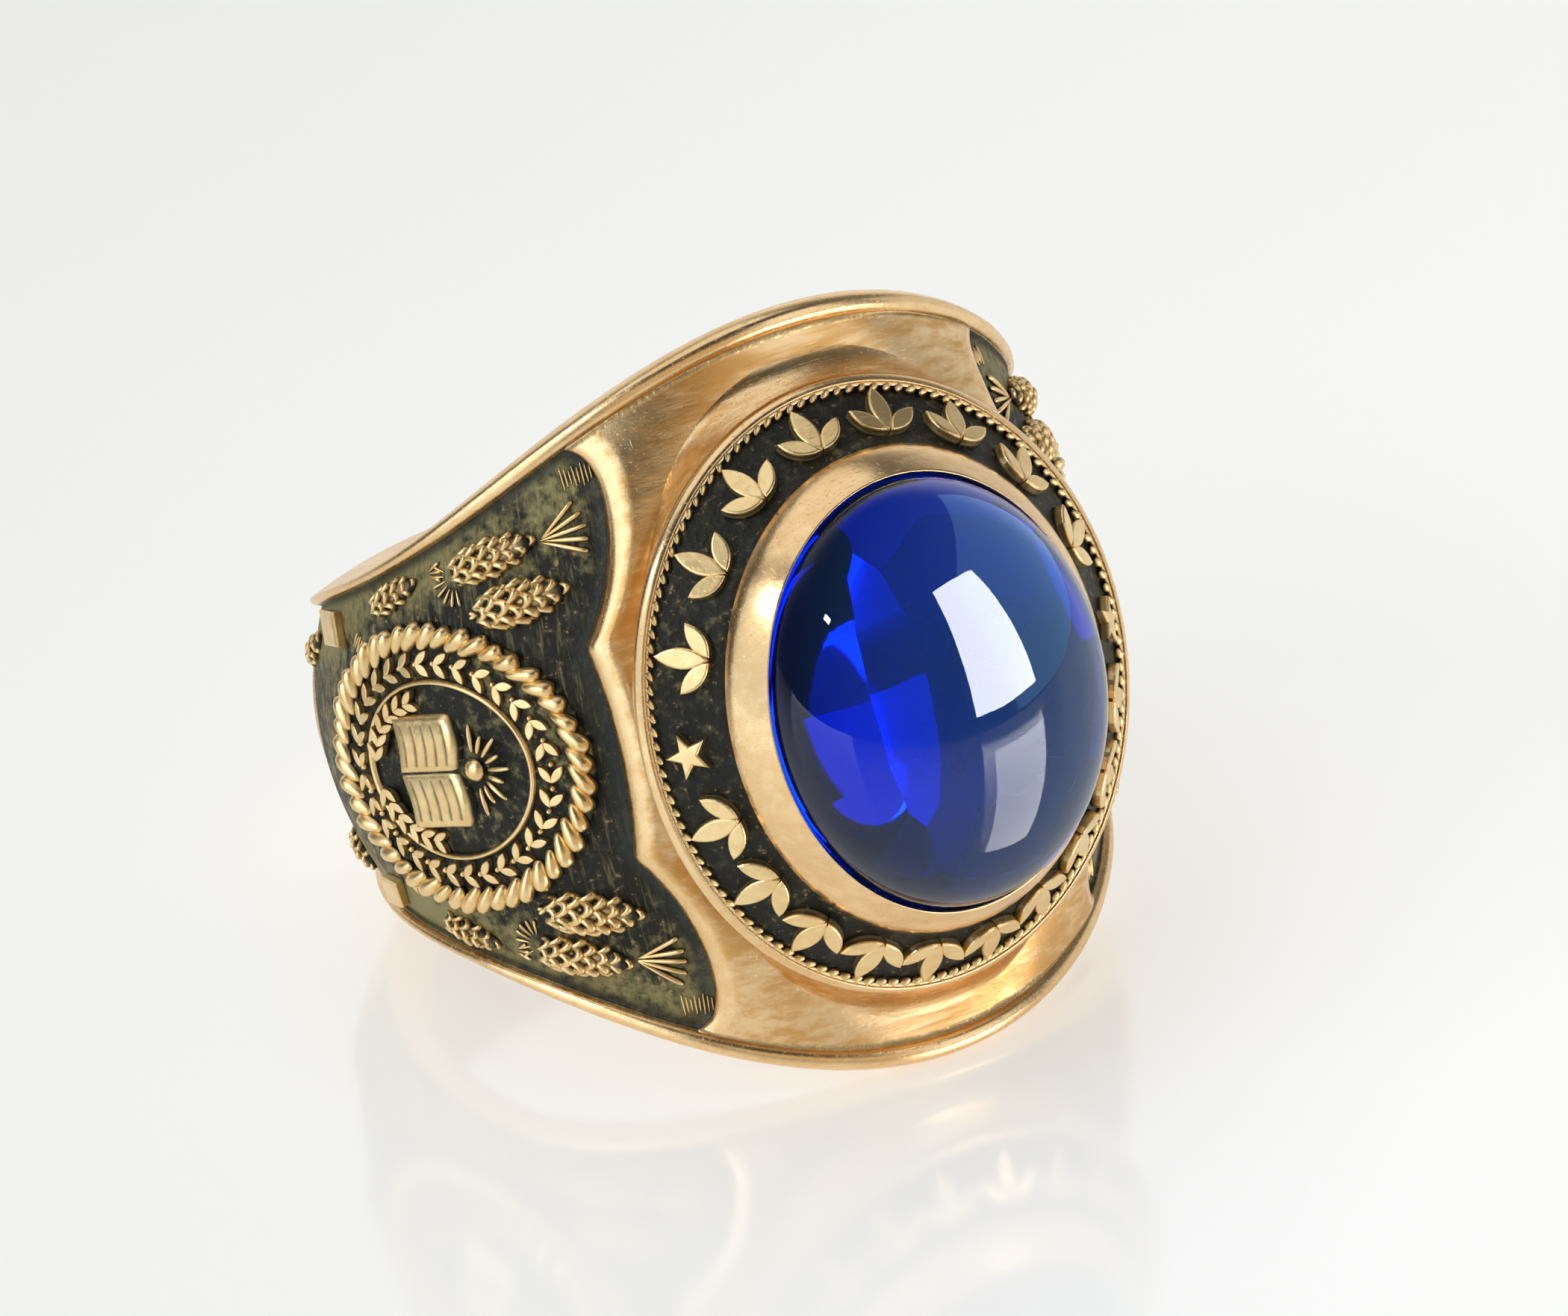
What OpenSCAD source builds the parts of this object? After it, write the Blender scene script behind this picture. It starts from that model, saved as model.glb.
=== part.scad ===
// Class ring: a cast gold band that widens to a domed blue oval stone, lying on its side.
// The ring is worked out round the finger hole: z runs along the finger, the stone faces -y,
// and angles are taken round the finger from the stone. At the end it is laid on its lower rim.

/* [Finger] */
// Inside diameter, which sets the finger size
bore_d = 19; // [16:0.1:22]

/* [Band] */
// Width across the rims at the stone
head_w = 21.8; // [19:0.1:24]
// Width of the shank at the back of the finger
back_w = 8.8; // [6:0.1:10]
// Metal thickness at the rims beside the stone
rim_t = 1.1; // [0.9:0.05:1.6]
// Metal thickness at the back of the shank
back_t = 1.8; // [1.2:0.05:2.4]
// How far the rounded rims stand over the side panels
rim_rise = 0.3; // [0.1:0.05:0.5]
// Width of the rounded rims
rim_w = 0.7; // [0.4:0.05:1]
// How far a panel's middle bulges over its edges
panel_crown = 0.9; // [0.4:0.05:1.2]
// Height of the bright bevel where a panel meets the rims
bevel_h = 0.3; // [0.15:0.05:0.5]
// How much higher that bevel is beside the stone
bevel_rise = 0.6; // [0.2:0.05:0.8]
// Width of that bevel
bevel_w = 0.45; // [0.3:0.05:0.7]
// Angle from the stone to where a panel begins
panel_from = 37.9; // [36:0.1:42]
// Angle from the stone to where a panel ends
panel_to = 126; // [115:1:140]

/* [Stone] */
// Width of the oval stone, round the finger
stone_w = 10; // [8:0.1:11]
// Length of the oval stone, along the finger
stone_l = 12; // [10:0.1:13]
// Distance from the finger's axis to the stone's girdle
girdle_y = 14; // [13.4:0.05:15]
// Height of the polished dome over the girdle
dome_h = 3.7; // [2.5:0.1:4.5]
// Thickness of the stone's straight girdle
girdle_t = 0.35; // [0.2:0.05:0.6]
// Depth of the faceted back under the girdle
pavilion_h = 1.9; // [1.2:0.1:2.2]
// Number of facets round the back
facets = 12; // [8:4:16]
// Clearance all round the stone in its seat
seat_gap = 0.06; // [0.04:0.01:0.1]

/* [Bezel] */
// Width of the smooth collar that holds the stone
collar_w = 0.82; // [0.6:0.02:1]
// How far the collar falls towards its outer edge
collar_fall = 1; // [0.7:0.05:1.3]
// How far the collar's lip stands above the stone's girdle
collar_rise = 0.2; // [0:0.05:0.3]
// Width of the sloping ornament band round the collar
slope_w = 1.5; // [1.3:0.05:1.8]
// How far the ornament band falls towards the toothed border
slope_fall = 1.85; // [1.4:0.05:2]
// Depth of the ornament band's ground under the collar
ground_d = 0.28; // [0.15:0.01:0.4]
// Width of the toothed border
border_w = 0.38; // [0.3:0.02:0.6]
// Width of the ledge under the stone's edge
ledge_w = 0.55; // [0.52:0.01:0.7]

/* [Ornaments] */
// Height of the raised stars, sprigs and cones
relief_h = 0.3; // [0.2:0.02:0.45]
// Sprigs over the stone, between the stars
sprigs_above = 8; // [6:1:9]
// Sprigs under the stone, between the stars
sprigs_below = 10; // [7:1:11]
// Size of a sprig across
sprig_w = 1.45; // [1:0.05:1.6]
// Size of a star across
star_w = 1.4; // [1:0.05:1.6]
// Length of a medallion, round the finger
medal_l = 10; // [9:0.1:11]
// Width of a medallion, along the finger
medal_w = 8.3; // [7:0.1:9]
// Angle from the stone to a medallion's middle
medal_at = 69.2; // [68:0.5:76]
// Height of a medallion's rope border over the panel
rope_h = 0.45; // [0.3:0.05:0.6]
// Width of that rope border
rope_w = 0.65; // [0.5:0.05:0.8]

/* [Hidden] */
gold = [0.83, 0.62, 0.34];
sapphire = [0.05, 0.12, 0.6];
bore_r = bore_d / 2;

// Half the band's width, and its wall at the rims, at an angle from the stone
flare_soft = 0.17;
flare_sharp = 0.02;
// The band stands a little wider at its sides: by how much, at what angle and over what reach
side_bow = 0.36;
side_at = 100;
side_reach = 22;
function half_w(a) =
    (head_w + back_w) / 4 * (1 - flare_soft * (1 - cos(2 * a)))
    + (head_w - back_w) / 4 * ((1 - flare_sharp) * cos(a) + flare_sharp * cos(3 * a))
    + side_bow * exp(-pow((acos(cos(a)) - side_at) / side_reach, 2));
function rim_wall(a) = rim_t + (back_t - rim_t) * pow((1 - cos(a)) / 2, 3);
function ease(t) = t <= 0 ? 0 : t >= 1 ? 1 : t * t * (3 - 2 * t);
function mix(p, q, t) = p + (q - p) * t;

// The lobed edge of a panel, as degrees past its start: a shallow middle lobe, two cusps, two
// deep outer lobes and rounded corners. w runs from -1 at the lower rim to 1 at the upper rim.
cusp_w = 0.37;
lobe_w = 0.77;
cusp_a = 1.7;
lobe_a = -5.1;
corner_a = 4.4;
function lobed(w) =
    w < cusp_w ? cusp_a * pow(w / cusp_w, 2)
    : w < lobe_w ? lobe_a + (cusp_a - lobe_a) * pow((lobe_w - w) / (lobe_w - cusp_w), 2)
    : lobe_a + corner_a * pow((w - lobe_w) / (1 - lobe_w), 3);
function edge_a(w) = panel_from + lobed(abs(w));
panel_end_bow = 6;
function end_a(w) = panel_to + panel_end_bow * w * w;
bevel_a = bevel_w / (bore_r + rim_t) * 180 / PI;

// Columns of the band's surface: [zone, share across the zone, side], where the zones are
// the smooth head, a side panel and the plain back
HEAD = 0;
PANEL = 1;
BACK = 2;
head_cols = 13;
panel_cols = 22;
back_cols = 9;
half_cols = concat(
    [for (i = [0:head_cols]) [HEAD, i / head_cols, 1]],
    [for (i = [0:panel_cols]) [PANEL, i / panel_cols, 1]],
    [for (i = [0:back_cols]) [BACK, i / back_cols, 1]]);
all_cols = concat(
    half_cols,
    [for (i = [len(half_cols) - 2:-1:1]) [half_cols[i][0], half_cols[i][1], -1]]);
function col_a(col, w) =
    col[2] * (col[0] == HEAD ? col[1] * edge_a(w)
        : col[0] == PANEL ? mix(edge_a(w) + bevel_a, end_a(w), col[1])
        : mix(end_a(w) + bevel_a, 180, col[1]));

// The band's radius over a column and a share of the half width
valley_t = 0.3;
back_crown = 0.6;
panel_r = bore_r + rim_t - rim_rise + panel_crown;
function ground_r(a, w) = bore_r + rim_wall(a) - rim_rise + panel_crown * (1 - w * w);
function crest_r(w) = ground_r(0, w) + bevel_h + bevel_rise * (1 - w * w);
function inner_r(col, w) =
    let (a = abs(col_a(col, w)))
    col[0] == HEAD ? mix(bore_r + rim_t - valley_t, crest_r(w), pow(col[1], 2))
    : col[0] == PANEL ? ground_r(a, w)
    : mix(ground_r(a, w) + bevel_h, bore_r + rim_wall(a) + panel_crown * back_crown * (1 - w * w),
        ease(2 * col[1]));

// Rows from the lower rim's inner edge outwards: [inset from the band's edge as a share of the
// rim's width, height over the finger hole as a share of the wall]
inner_rows = 22;
rim_rows = [[0, 0.3], [0.02, 0.72], [0.26, 0.98], [0.62, 1], [0.94, 0.88]];
function rim_point(col, sign, row) =
    let (a = col_a(col, sign), h = half_w(a), r = bore_r + rim_wall(a) * row[1])
    [r * sin(a), -r * cos(a), sign * (h - rim_w * row[0])];
function inner_point(col, w) =
    let (a = col_a(col, w), r = inner_r(col, w))
    [r * sin(a), -r * cos(a), w * (half_w(a) - rim_w)];
lower_rim = [for (row = rim_rows) [for (c = all_cols) rim_point(c, -1, row)]];
upper_rim = [for (i = [len(rim_rows) - 1:-1:0]) [for (c = all_cols) rim_point(c, 1, rim_rows[i])]];
panel_rings = [for (i = [0:inner_rows]) [for (c = all_cols) inner_point(c, 2 * i / inner_rows - 1)]];

// The band is a plug that the finger hole is cut through, with its inner edges eased
plug_r = bore_r - 0.4;
plug_inset = 0.4;
function plug_ring(sign) =
    [for (c = all_cols) let (a = col_a(c, sign))
        [plug_r * sin(a), -plug_r * cos(a), sign * (half_w(a) - rim_w * plug_inset)]];
band_rings = concat([plug_ring(-1)], lower_rim, panel_rings, upper_rim, [plug_ring(1)]);

// A closed skin over rings of equally many points, with a point at each end
function flat_list(rings) = [for (ring = rings) each ring];
function skin_faces(count, n) = concat(
    [for (j = [0:n - 1]) [0, 1 + (j + 1) % n, 1 + j]],
    [for (i = [0:count - 2]) for (j = [0:n - 1])
        let (p = 1 + i * n, k = (j + 1) % n) each
        [[p + j, p + k, p + n + k], [p + j, p + n + k, p + n + j]]],
    [for (j = [0:n - 1]) let (p = 1 + (count - 1) * n) [p + j, p + (j + 1) % n, 1 + count * n]]);
module skin(rings, start, finish) {
    polyhedron(
        points = concat([start], flat_list(rings), [finish]),
        faces = [for (f = skin_faces(len(rings), len(rings[0]))) [f[0], f[2], f[1]]],
        convexity = 8);
}

// The tilt at which the lower rim meets the table under the stone and under the shank's back
function part_of(rings, sign) = [for (ring = rings) for (p = ring) if (p[1] * sign > bore_r / 2) p];
front_rim = part_of(lower_rim, -1);
rear_rim = part_of(lower_rim, 1);
tilt = atan(max([for (f = front_rim) min([for (b = rear_rim) (b[2] - f[2]) / (b[1] - f[1])])]));
drop = min([for (ring = lower_rim) for (p = ring) p[2] * cos(tilt) - p[1] * sin(tilt)]);
lowest_y = min([for (ring = band_rings) for (p = ring) p[1] * cos(tilt) + p[2] * sin(tilt)]);
highest_y = max([for (ring = band_rings) for (p = ring) p[1] * cos(tilt) + p[2] * sin(tilt)]);
front_y = min(
    lowest_y,
    -girdle_y * cos(tilt) - sqrt(pow(dome_h * cos(tilt), 2) + pow(stone_l / 2 * sin(tilt), 2)));
module laid() {
    translate([0, -(front_y + highest_y) / 2, -drop]) rotate([-tilt, 0, 0]) children();
}

// Ovals round the stone: [how far outside the stone, distance from the finger's axis]
oval_n = 96;
function oval(out, y, n = oval_n) =
    [for (i = [0:n - 1]) let (a = 360 * i / n)
        [(stone_w / 2 + out) * cos(a), -y, (stone_l / 2 + out) * sin(a)]];
lip = seat_gap + 0.02;
girdle_y0 = girdle_y - girdle_t;
border_out = collar_w + slope_w + border_w;
border_y = girdle_y - collar_fall - slope_fall;
// The ledge slopes under the first facets of the stone's back, and the cup is clear of the rest
edge_share = 0.18;
ledge_y = girdle_y0 - edge_share * pavilion_h - seat_gap * 2.5;
cup_y = girdle_y0 - pavilion_h - 0.35;
// The skirt under the toothed border flares towards the rims and draws in at the sides, where
// it leaves the panels' frame free
skirt_w = 0.5;
skirt_in = 1.6;
skirt_turn = 1.7;
root_r = bore_r + 0.6;
function skirt(s) =
    [for (p = oval(border_out, border_y))
        let (k = pow(p[2] / (stone_l / 2 + border_out), 2), grow = mix(-skirt_in, skirt_w, k) * s,
            x = p[0] * (1 + grow / (stone_w / 2 + border_out)),
            z = p[2] * (1 + grow / (stone_l / 2 + border_out)),
            foot = sqrt(max(pow(root_r, 2) - x * x, 1)))
        [x, -mix(foot, border_y, pow(1 - s, skirt_turn)), z]];
ground_out = [collar_w + slope_w, border_y + 0.1];
ground_in = [collar_w + 0.12, girdle_y - collar_fall - 0.12 - ground_d * 0.6];
function on_ground(g) = oval(g[0], g[1]);
head_rings = [
    skirt(1),
    skirt(0.6),
    skirt(0.25),
    skirt(0),
    oval(border_out - border_w * 0.3, border_y + 0.22),
    oval(border_out - border_w * 0.8, border_y + 0.3),
    on_ground(ground_out),
    on_ground(ground_in),
    oval(collar_w, girdle_y - collar_fall - ground_d * 0.2),
    oval(collar_w * 0.9, girdle_y - collar_fall + 0.16),
    oval(collar_w * 0.45, girdle_y - collar_fall * 0.38 + collar_rise * 0.8),
    oval(lip + 0.06, girdle_y + collar_rise),
    oval(lip, girdle_y + collar_rise - 0.1),
    oval(lip, girdle_y0 - seat_gap),
    oval(-ledge_w, ledge_y),
    oval(-1.3, cup_y)];

// A place on the ornament band at an angle round the stone, sunk a little under its ground
band_mid = (ground_out + ground_in) / 2;
slope_tilt = atan2(ground_in[1] - ground_out[1], ground_out[0] - ground_in[0]);
sink = 0.25;
module on_slope(a) {
    x = (stone_w / 2 + band_mid[0]) * cos(a);
    z = (stone_l / 2 + band_mid[0]) * sin(a);
    out = atan2(z * pow(stone_w / 2 + band_mid[0], 2), x * pow(stone_l / 2 + band_mid[0], 2));
    translate([x, -band_mid[1], z]) rotate([90, 0, 0]) rotate([0, 0, out - 90])
        rotate([-slope_tilt, 0, 0]) translate([0, 0, -sink]) children();
}
module star() {
    linear_extrude(height = sink + relief_h)
        polygon([for (i = [0:9]) let (r = star_w / 2 * (i % 2 == 0 ? 1 : 0.42))
            [r * sin(36 * i), r * cos(36 * i)]]);
}
// A sprig of three pointed leaves that fan out from a short stem, as half its outline:
// [angle from the middle leaf, distance from the stem's foot as a share of its size]
sprig_half = [
    [0, 1.12], [15, 0.8], [23, 0.42], [33, 0.66], [47, 0.82], [62, 0.6], [78, 0.28]];
sprig_foot = 0.58;
function sprig_point(q, hand) =
    sprig_w * [hand * q[1] * sin(q[0]), q[1] * cos(q[0]) - sprig_foot];
module sprig() {
    last = len(sprig_half) - 1;
    linear_extrude(height = sink + relief_h)
        polygon(concat(
            [for (i = [last:-1:1]) sprig_point(sprig_half[i], -1)],
            [for (q = sprig_half) sprig_point(q, 1)]));
}

// A point over a side panel: [mm round the finger towards the stone, mm along the finger]
// from a centre at [angle, z], with a height over the panel
function panel_point(side, at, p, up) =
    let (a = at[0] - p[0] / panel_r * 180 / PI,
        w = (at[1] + p[1]) / (half_w(a) - rim_w),
        r = ground_r(a, w) + up)
    [side * r * sin(a), -r * cos(a), at[1] + p[1]];

// Medallion rows: [share of its half size, height as a share of the rope border's]
medal_n = 36;
rope_share = 2 * rope_w / medal_w;
medal_rows = [
    [0.3, 0.15], [0.58, 0.12], [0.61, 0.45], [0.64, 0.12],
    [1 - rope_share, 0.12], [1 - rope_share * 0.85, 0.8], [1 - rope_share * 0.45, 1],
    [1 - rope_share * 0.1, 0.7], [1, -0.9]];
module medallion(side) {
    at = [medal_at, 0];
    rings = [for (i = [0:len(medal_rows) - 1]) [for (j = [0:medal_n - 1])
        let (a = side * 360 * j / medal_n, row = medal_rows[i])
        panel_point(side, at,
            [medal_l / 2 * row[0] * cos(a), medal_w / 2 * row[0] * sin(a)],
            rope_h * row[1])]];
    skin(
        rings,
        panel_point(side, at, [0, 0], rope_h * 0.15),
        panel_point(side, at, [0, 0], -rope_h));
    on_panel(side, at) open_book();
}
// A place on a panel, with y along the finger's round towards the stone, sunk a little
module on_panel(side, at) {
    translate(panel_point(side, at, [0, 0], -sink)) rotate([0, 0, side * at[0]])
        rotate([90, 0, 0]) rotate([0, 0, side * 90]) children();
}
// An open book in the medallion's field, with its spine towards the stone
book_w = 3.4;
book_l = 2.4;
page_rise = 0.35;
module open_book() {
    page_edge = [for (s = [-1:0.5:1]) [book_w / 2 * s, page_rise * (abs(s) == 0.5 ? 1 : 0)]];
    linear_extrude(height = sink + relief_h)
        polygon(concat(
            [for (q = page_edge) [q[0], q[1] - book_l / 2]],
            [for (q = page_edge) [-q[0], q[1] + book_l / 2]]));
}

// Fir cones on a panel: [angle and z of the tip end, angle and z of the stem end, width],
// with the angles from the stone and z as a share of the panel's half width there
cones = [
    [45.5, 0.79, 61, 0.84, 1.15],
    [41.5, 0.58, 57, 0.63, 1.3],
    [69, 0.9, 80.5, 0.86, 0.85],
    [104, 0.8, 113, 0.65, 0.8]];
cone_rows = [[0.12, 0.45], [0.35, 0.9], [0.62, 1], [0.88, 0.6]];
cone_n = 8;
function share_z(a, s) = s * (half_w(a) - rim_w);
module fir_cone(side, up, row) {
    tip = [row[0], up * share_z(row[0], row[1])];
    stem = [row[2], up * share_z(row[2], row[3])];
    per_mm = 180 / PI / panel_r;
    l = [(tip[0] - stem[0]) / per_mm, stem[1] - tip[1]];
    across = [-l[1], l[0]] / norm(l);
    rings = [for (c = cone_rows) [for (j = [0:cone_n - 1])
        let (a = -side * 360 * j / cone_n, half = row[4] / 2 * c[1])
        panel_point(side, tip, c[0] * l + across * half * cos(a), half * 0.75 * sin(a))]];
    skin(rings, panel_point(side, tip, [0, 0], 0), panel_point(side, tip, l, 0));
}
// A raised lozenge by the shank's end of a panel
lozenge_w = 1.1;
lozenge_a = 95;
lozenge_z = 0.82;
lozenge_turn = 25;
module lozenge(side, up) {
    on_panel(side, [lozenge_a, up * share_z(lozenge_a, lozenge_z)])
        rotate([0, 0, -side * up * lozenge_turn])
            linear_extrude(height = sink + relief_h)
                polygon([[-lozenge_w / 2, 0], [0, -lozenge_w], [lozenge_w / 2, 0], [0, lozenge_w]]);
}

module relief() {
    for (a = [0, 180]) on_slope(a) star();
    for (i = [1:sprigs_above]) on_slope(180 * i / (sprigs_above + 1)) sprig();
    for (i = [1:sprigs_below]) on_slope(180 + 180 * i / (sprigs_below + 1)) sprig();
    for (side = [-1, 1]) {
        medallion(side);
        for (up = [-1, 1]) {
            lozenge(side, up);
            for (row = cones) fir_cone(side, up, row);
        }
    }
}

module ring_body() {
    color(gold) laid() difference() {
        union() {
            skin(band_rings, [0, 0, -head_w * 0.2], [0, 0, head_w * 0.2]);
            skin(head_rings, [0, -bore_r * 0.4, 0], [0, -cup_y, 0]);
            relief();
        }
        cylinder(r = bore_r, h = head_w * 2, center = true, $fn = 96);
    }
}

// The stone: a smooth dome over a straight girdle, and a faceted back with a keel
stone_n = 72;
dome_rows = 7;
function facet_r(a) =
    let (step = 360 / facets, b = abs(a) % step) cos(step / 2) / cos(b - step / 2);
function stone_ring(k_w, k_l, y, faceted) =
    [for (i = [0:stone_n - 1]) let (a = 360 * i / stone_n, f = faceted ? facet_r(a) : 1)
        [stone_w / 2 * k_w * f * cos(a), -y, stone_l / 2 * k_l * f * sin(a)]];
stone_rings = concat(
    [stone_ring(0.1, 0.45, girdle_y0 - pavilion_h, true),
        stone_ring(0.62, 0.74, girdle_y0 - pavilion_h * 0.62, true),
        stone_ring(0.9, 0.91, girdle_y0 - pavilion_h * edge_share, true),
        stone_ring(0.985, 0.987, girdle_y0, false)],
    [for (i = [0:dome_rows]) let (t = 90 * i / (dome_rows + 1))
        stone_ring(cos(t), cos(t), girdle_y + dome_h * sin(t), false)]);
module stone() {
    color(sapphire) laid()
        skin(stone_rings, [0, -(girdle_y0 - pavilion_h), 0], [0, -(girdle_y + dome_h), 0]);
}

ring_body();
stone();
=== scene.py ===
import math
from contextlib import contextmanager
import bmesh
import bpy
import numpy as np
from mathutils import Matrix, Vector


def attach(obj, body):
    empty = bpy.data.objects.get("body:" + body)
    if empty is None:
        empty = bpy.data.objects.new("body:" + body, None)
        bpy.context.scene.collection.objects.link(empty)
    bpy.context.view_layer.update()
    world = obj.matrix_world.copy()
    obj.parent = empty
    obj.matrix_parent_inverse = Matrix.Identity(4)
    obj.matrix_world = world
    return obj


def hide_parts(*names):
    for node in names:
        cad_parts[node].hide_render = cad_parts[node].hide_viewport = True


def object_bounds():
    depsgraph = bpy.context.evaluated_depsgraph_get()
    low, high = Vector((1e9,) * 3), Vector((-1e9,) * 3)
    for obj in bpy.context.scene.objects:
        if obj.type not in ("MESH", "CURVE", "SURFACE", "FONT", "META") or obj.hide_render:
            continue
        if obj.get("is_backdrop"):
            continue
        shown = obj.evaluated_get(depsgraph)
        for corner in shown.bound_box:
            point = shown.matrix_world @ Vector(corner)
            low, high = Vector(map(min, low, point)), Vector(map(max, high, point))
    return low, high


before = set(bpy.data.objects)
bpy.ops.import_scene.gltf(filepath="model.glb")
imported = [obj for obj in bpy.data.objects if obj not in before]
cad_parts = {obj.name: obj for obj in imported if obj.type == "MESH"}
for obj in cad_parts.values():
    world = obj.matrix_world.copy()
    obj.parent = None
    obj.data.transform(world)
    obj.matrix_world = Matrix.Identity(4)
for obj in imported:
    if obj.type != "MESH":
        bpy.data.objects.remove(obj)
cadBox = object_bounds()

# The ring is worked out round the finger, in mm: z runs along the finger, the stone faces -y and
# angles are degrees round the finger from the stone. toRow lays it on its lower rim, in metres.
lay = dict(tilt=17.5269, shift=2.6514, lift=7.4336)
plainSize = (1, 1, 1)
corners = [(side, up) for side in (-1, 1) for up in (-1, 1)]  # the four quarters of the two panels


def turnRow(vectors):
    v = np.asarray(vectors, float).reshape(-1, 3)
    c, s = math.cos(math.radians(lay["tilt"])), math.sin(math.radians(lay["tilt"]))
    return np.column_stack([v[:, 0], v[:, 1] * c + v[:, 2] * s, -v[:, 1] * s + v[:, 2] * c])


def toRow(points):
    return (turnRow(points) + np.array([0, lay["shift"], lay["lift"]])) / 1000


def cosd(a):
    return np.cos(np.radians(a))


def sind(a):
    return np.sin(np.radians(a))


def unit(v):
    return v / np.linalg.norm(v)


def ease(t):
    t = np.clip(t, 0, 1)
    return t * t * (3 - 2 * t)


def mix(p, q, t):
    return p + (q - p) * t


def evenTurns(spotAt, count, start=0.0, stations=721):
    # turns that share out the length of an oval path evenly
    turns = np.linspace(0, 360, stations)
    path = np.array([spotAt(t) for t in turns])
    run = np.concatenate([[0], np.cumsum(np.linalg.norm(np.diff(path, axis=0), axis=1))])
    return [float(np.interp(run[-1] * (i + start) / count, run, turns)) for i in range(count)]


def smoothPath(knots, steps):
    # a Catmull-Rom path through knots
    k = np.array([knots[0], *knots, knots[-1]], float)
    path = []
    for i in range(1, len(k) - 2):
        for t in np.linspace(0, 1, steps, endpoint=False):
            path.append(0.5 * (2 * k[i] + (k[i + 1] - k[i - 1]) * t
                               + (2 * k[i - 1] - 5 * k[i] + 4 * k[i + 1] - k[i + 2]) * t * t
                               + (3 * k[i] - k[i - 1] - 3 * k[i + 1] + k[i + 2]) * t ** 3))
    path.append(k[-2])
    return np.array(path)


# meshes
def link(obj):
    bpy.context.scene.collection.objects.link(obj)
    return obj


def addMarks(mesh, kind, field, marks):
    for mark, values in marks.items():
        layer = mesh.attributes.new(mark, kind, "POINT")
        layer.data.foreach_set(field, np.asarray(values, np.float32).ravel())


def buildMesh(name, points, faces, material=None, marks=None, uv=None):
    # points in metres in the row's frame; marks are float attributes by vertex
    mesh = bpy.data.meshes.new(name)
    mesh.from_pydata([tuple(p) for p in np.asarray(points, float)], [], [list(map(int, f)) for f in faces])
    mesh.validate()
    addMarks(mesh, "FLOAT", "value", marks or {})
    if uv is not None:
        layer = mesh.uv_layers.new(name="surface")
        corner = np.empty(len(mesh.loops), int)
        mesh.loops.foreach_get("vertex_index", corner)
        layer.data.foreach_set("uv", np.asarray(uv, np.float32)[corner].ravel())
    mesh.shade_smooth()
    if material:
        mesh.materials.append(material)
    return link(bpy.data.objects.new(name, mesh))


def gridFaces(rows, cols, wrapRows=False, wrapCols=True, flip=False):
    r = np.arange(rows if wrapRows else rows - 1)[:, None]
    c = np.arange(cols if wrapCols else cols - 1)[None, :]
    a = r * cols + c
    b = r * cols + (c + 1) % cols
    d = (r + 1) % rows * cols + c
    e = (r + 1) % rows * cols + (c + 1) % cols
    quads = np.stack([a, b, e, d] if not flip else [a, d, e, b], -1)
    return quads.reshape(-1, 4)


@contextmanager
def opened(mesh):
    # a mesh opened in bmesh, and written back with its faces turned outwards
    data = bmesh.new()
    data.from_mesh(mesh)
    yield data
    bmesh.ops.recalc_face_normals(data, faces=data.faces)
    data.to_mesh(mesh)
    data.free()


# the band's shape
band = dict(
    bore=9.5, headWidth=21.8, backWidth=8.8, rimWall=1.1, backWall=1.8, rimRise=0.3, rimWidth=0.7,
    crown=0.9, bevelHeight=0.3, bevelRise=0.6, bevelWidth=0.45, panelFrom=37.9, panelTo=126, endBow=6,
    flareSoft=0.17, flareSharp=0.02, valley=0.3, backCrown=0.6, lip=0.55, lipTurn=2.5, headTurn=1.5,
    sideBow=0.36, sideAt=100, sideReach=22, rimFiner=0.4, rimFinerAt=48, rimFinerOver=36,
    cuspShare=0.37, lobeShare=0.77, cuspTurn=1.7, lobeTurn=-5.1, cornerTurn=4.4)
panelRadius = band["bore"] + band["rimWall"] - band["rimRise"] + band["crown"]
degreesPerMm = 180 / math.pi / panelRadius


def halfWidth(a):
    wide, narrow = band["headWidth"], band["backWidth"]
    half = ((wide + narrow) / 4 * (1 - band["flareSoft"] * (1 - cosd(2 * a)))
            + (wide - narrow) / 4 * ((1 - band["flareSharp"]) * cosd(a) + band["flareSharp"] * cosd(3 * a)))
    return half + band["sideBow"] * np.exp(-((a - band["sideAt"]) / band["sideReach"]) ** 2)


def rimScale(a):
    # the rims grow finer towards the sides
    return 1 - band["rimFiner"] * ease((a - band["rimFinerAt"]) / band["rimFinerOver"])


def panelHalf(a):
    return halfWidth(a) - band["rimWidth"] * rimScale(a)


def rimWall(a):
    return band["rimWall"] + (band["backWall"] - band["rimWall"]) * ((1 - cosd(a)) / 2) ** 3


def frameAngle(w):
    # the lobed edge of a panel: w is the share of the half width
    w = np.abs(w)
    cusp, lobe = band["cuspShare"], band["lobeShare"]
    turn = np.where(
        w < cusp, band["cuspTurn"] * (w / cusp) ** 2,
        np.where(
            w < lobe,
            band["lobeTurn"] + (band["cuspTurn"] - band["lobeTurn"]) * ((lobe - w) / (lobe - cusp)) ** 2,
            band["lobeTurn"] + band["cornerTurn"] * np.clip((w - lobe) / (1 - lobe), 0, 1) ** 3))
    return band["panelFrom"] + turn


def endAngle(w):
    return band["panelTo"] + band["endBow"] * w * w


def groundRadius(a, w):
    return band["bore"] + rimWall(a) - band["rimRise"] + band["crown"] * (1 - w * w)


def crestRadius(w):
    return groundRadius(0, w) + band["bevelHeight"] + band["bevelRise"] * (1 - w * w)


def shareAt(a, z):
    return np.clip(z / panelHalf(a), -1, 1)


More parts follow.
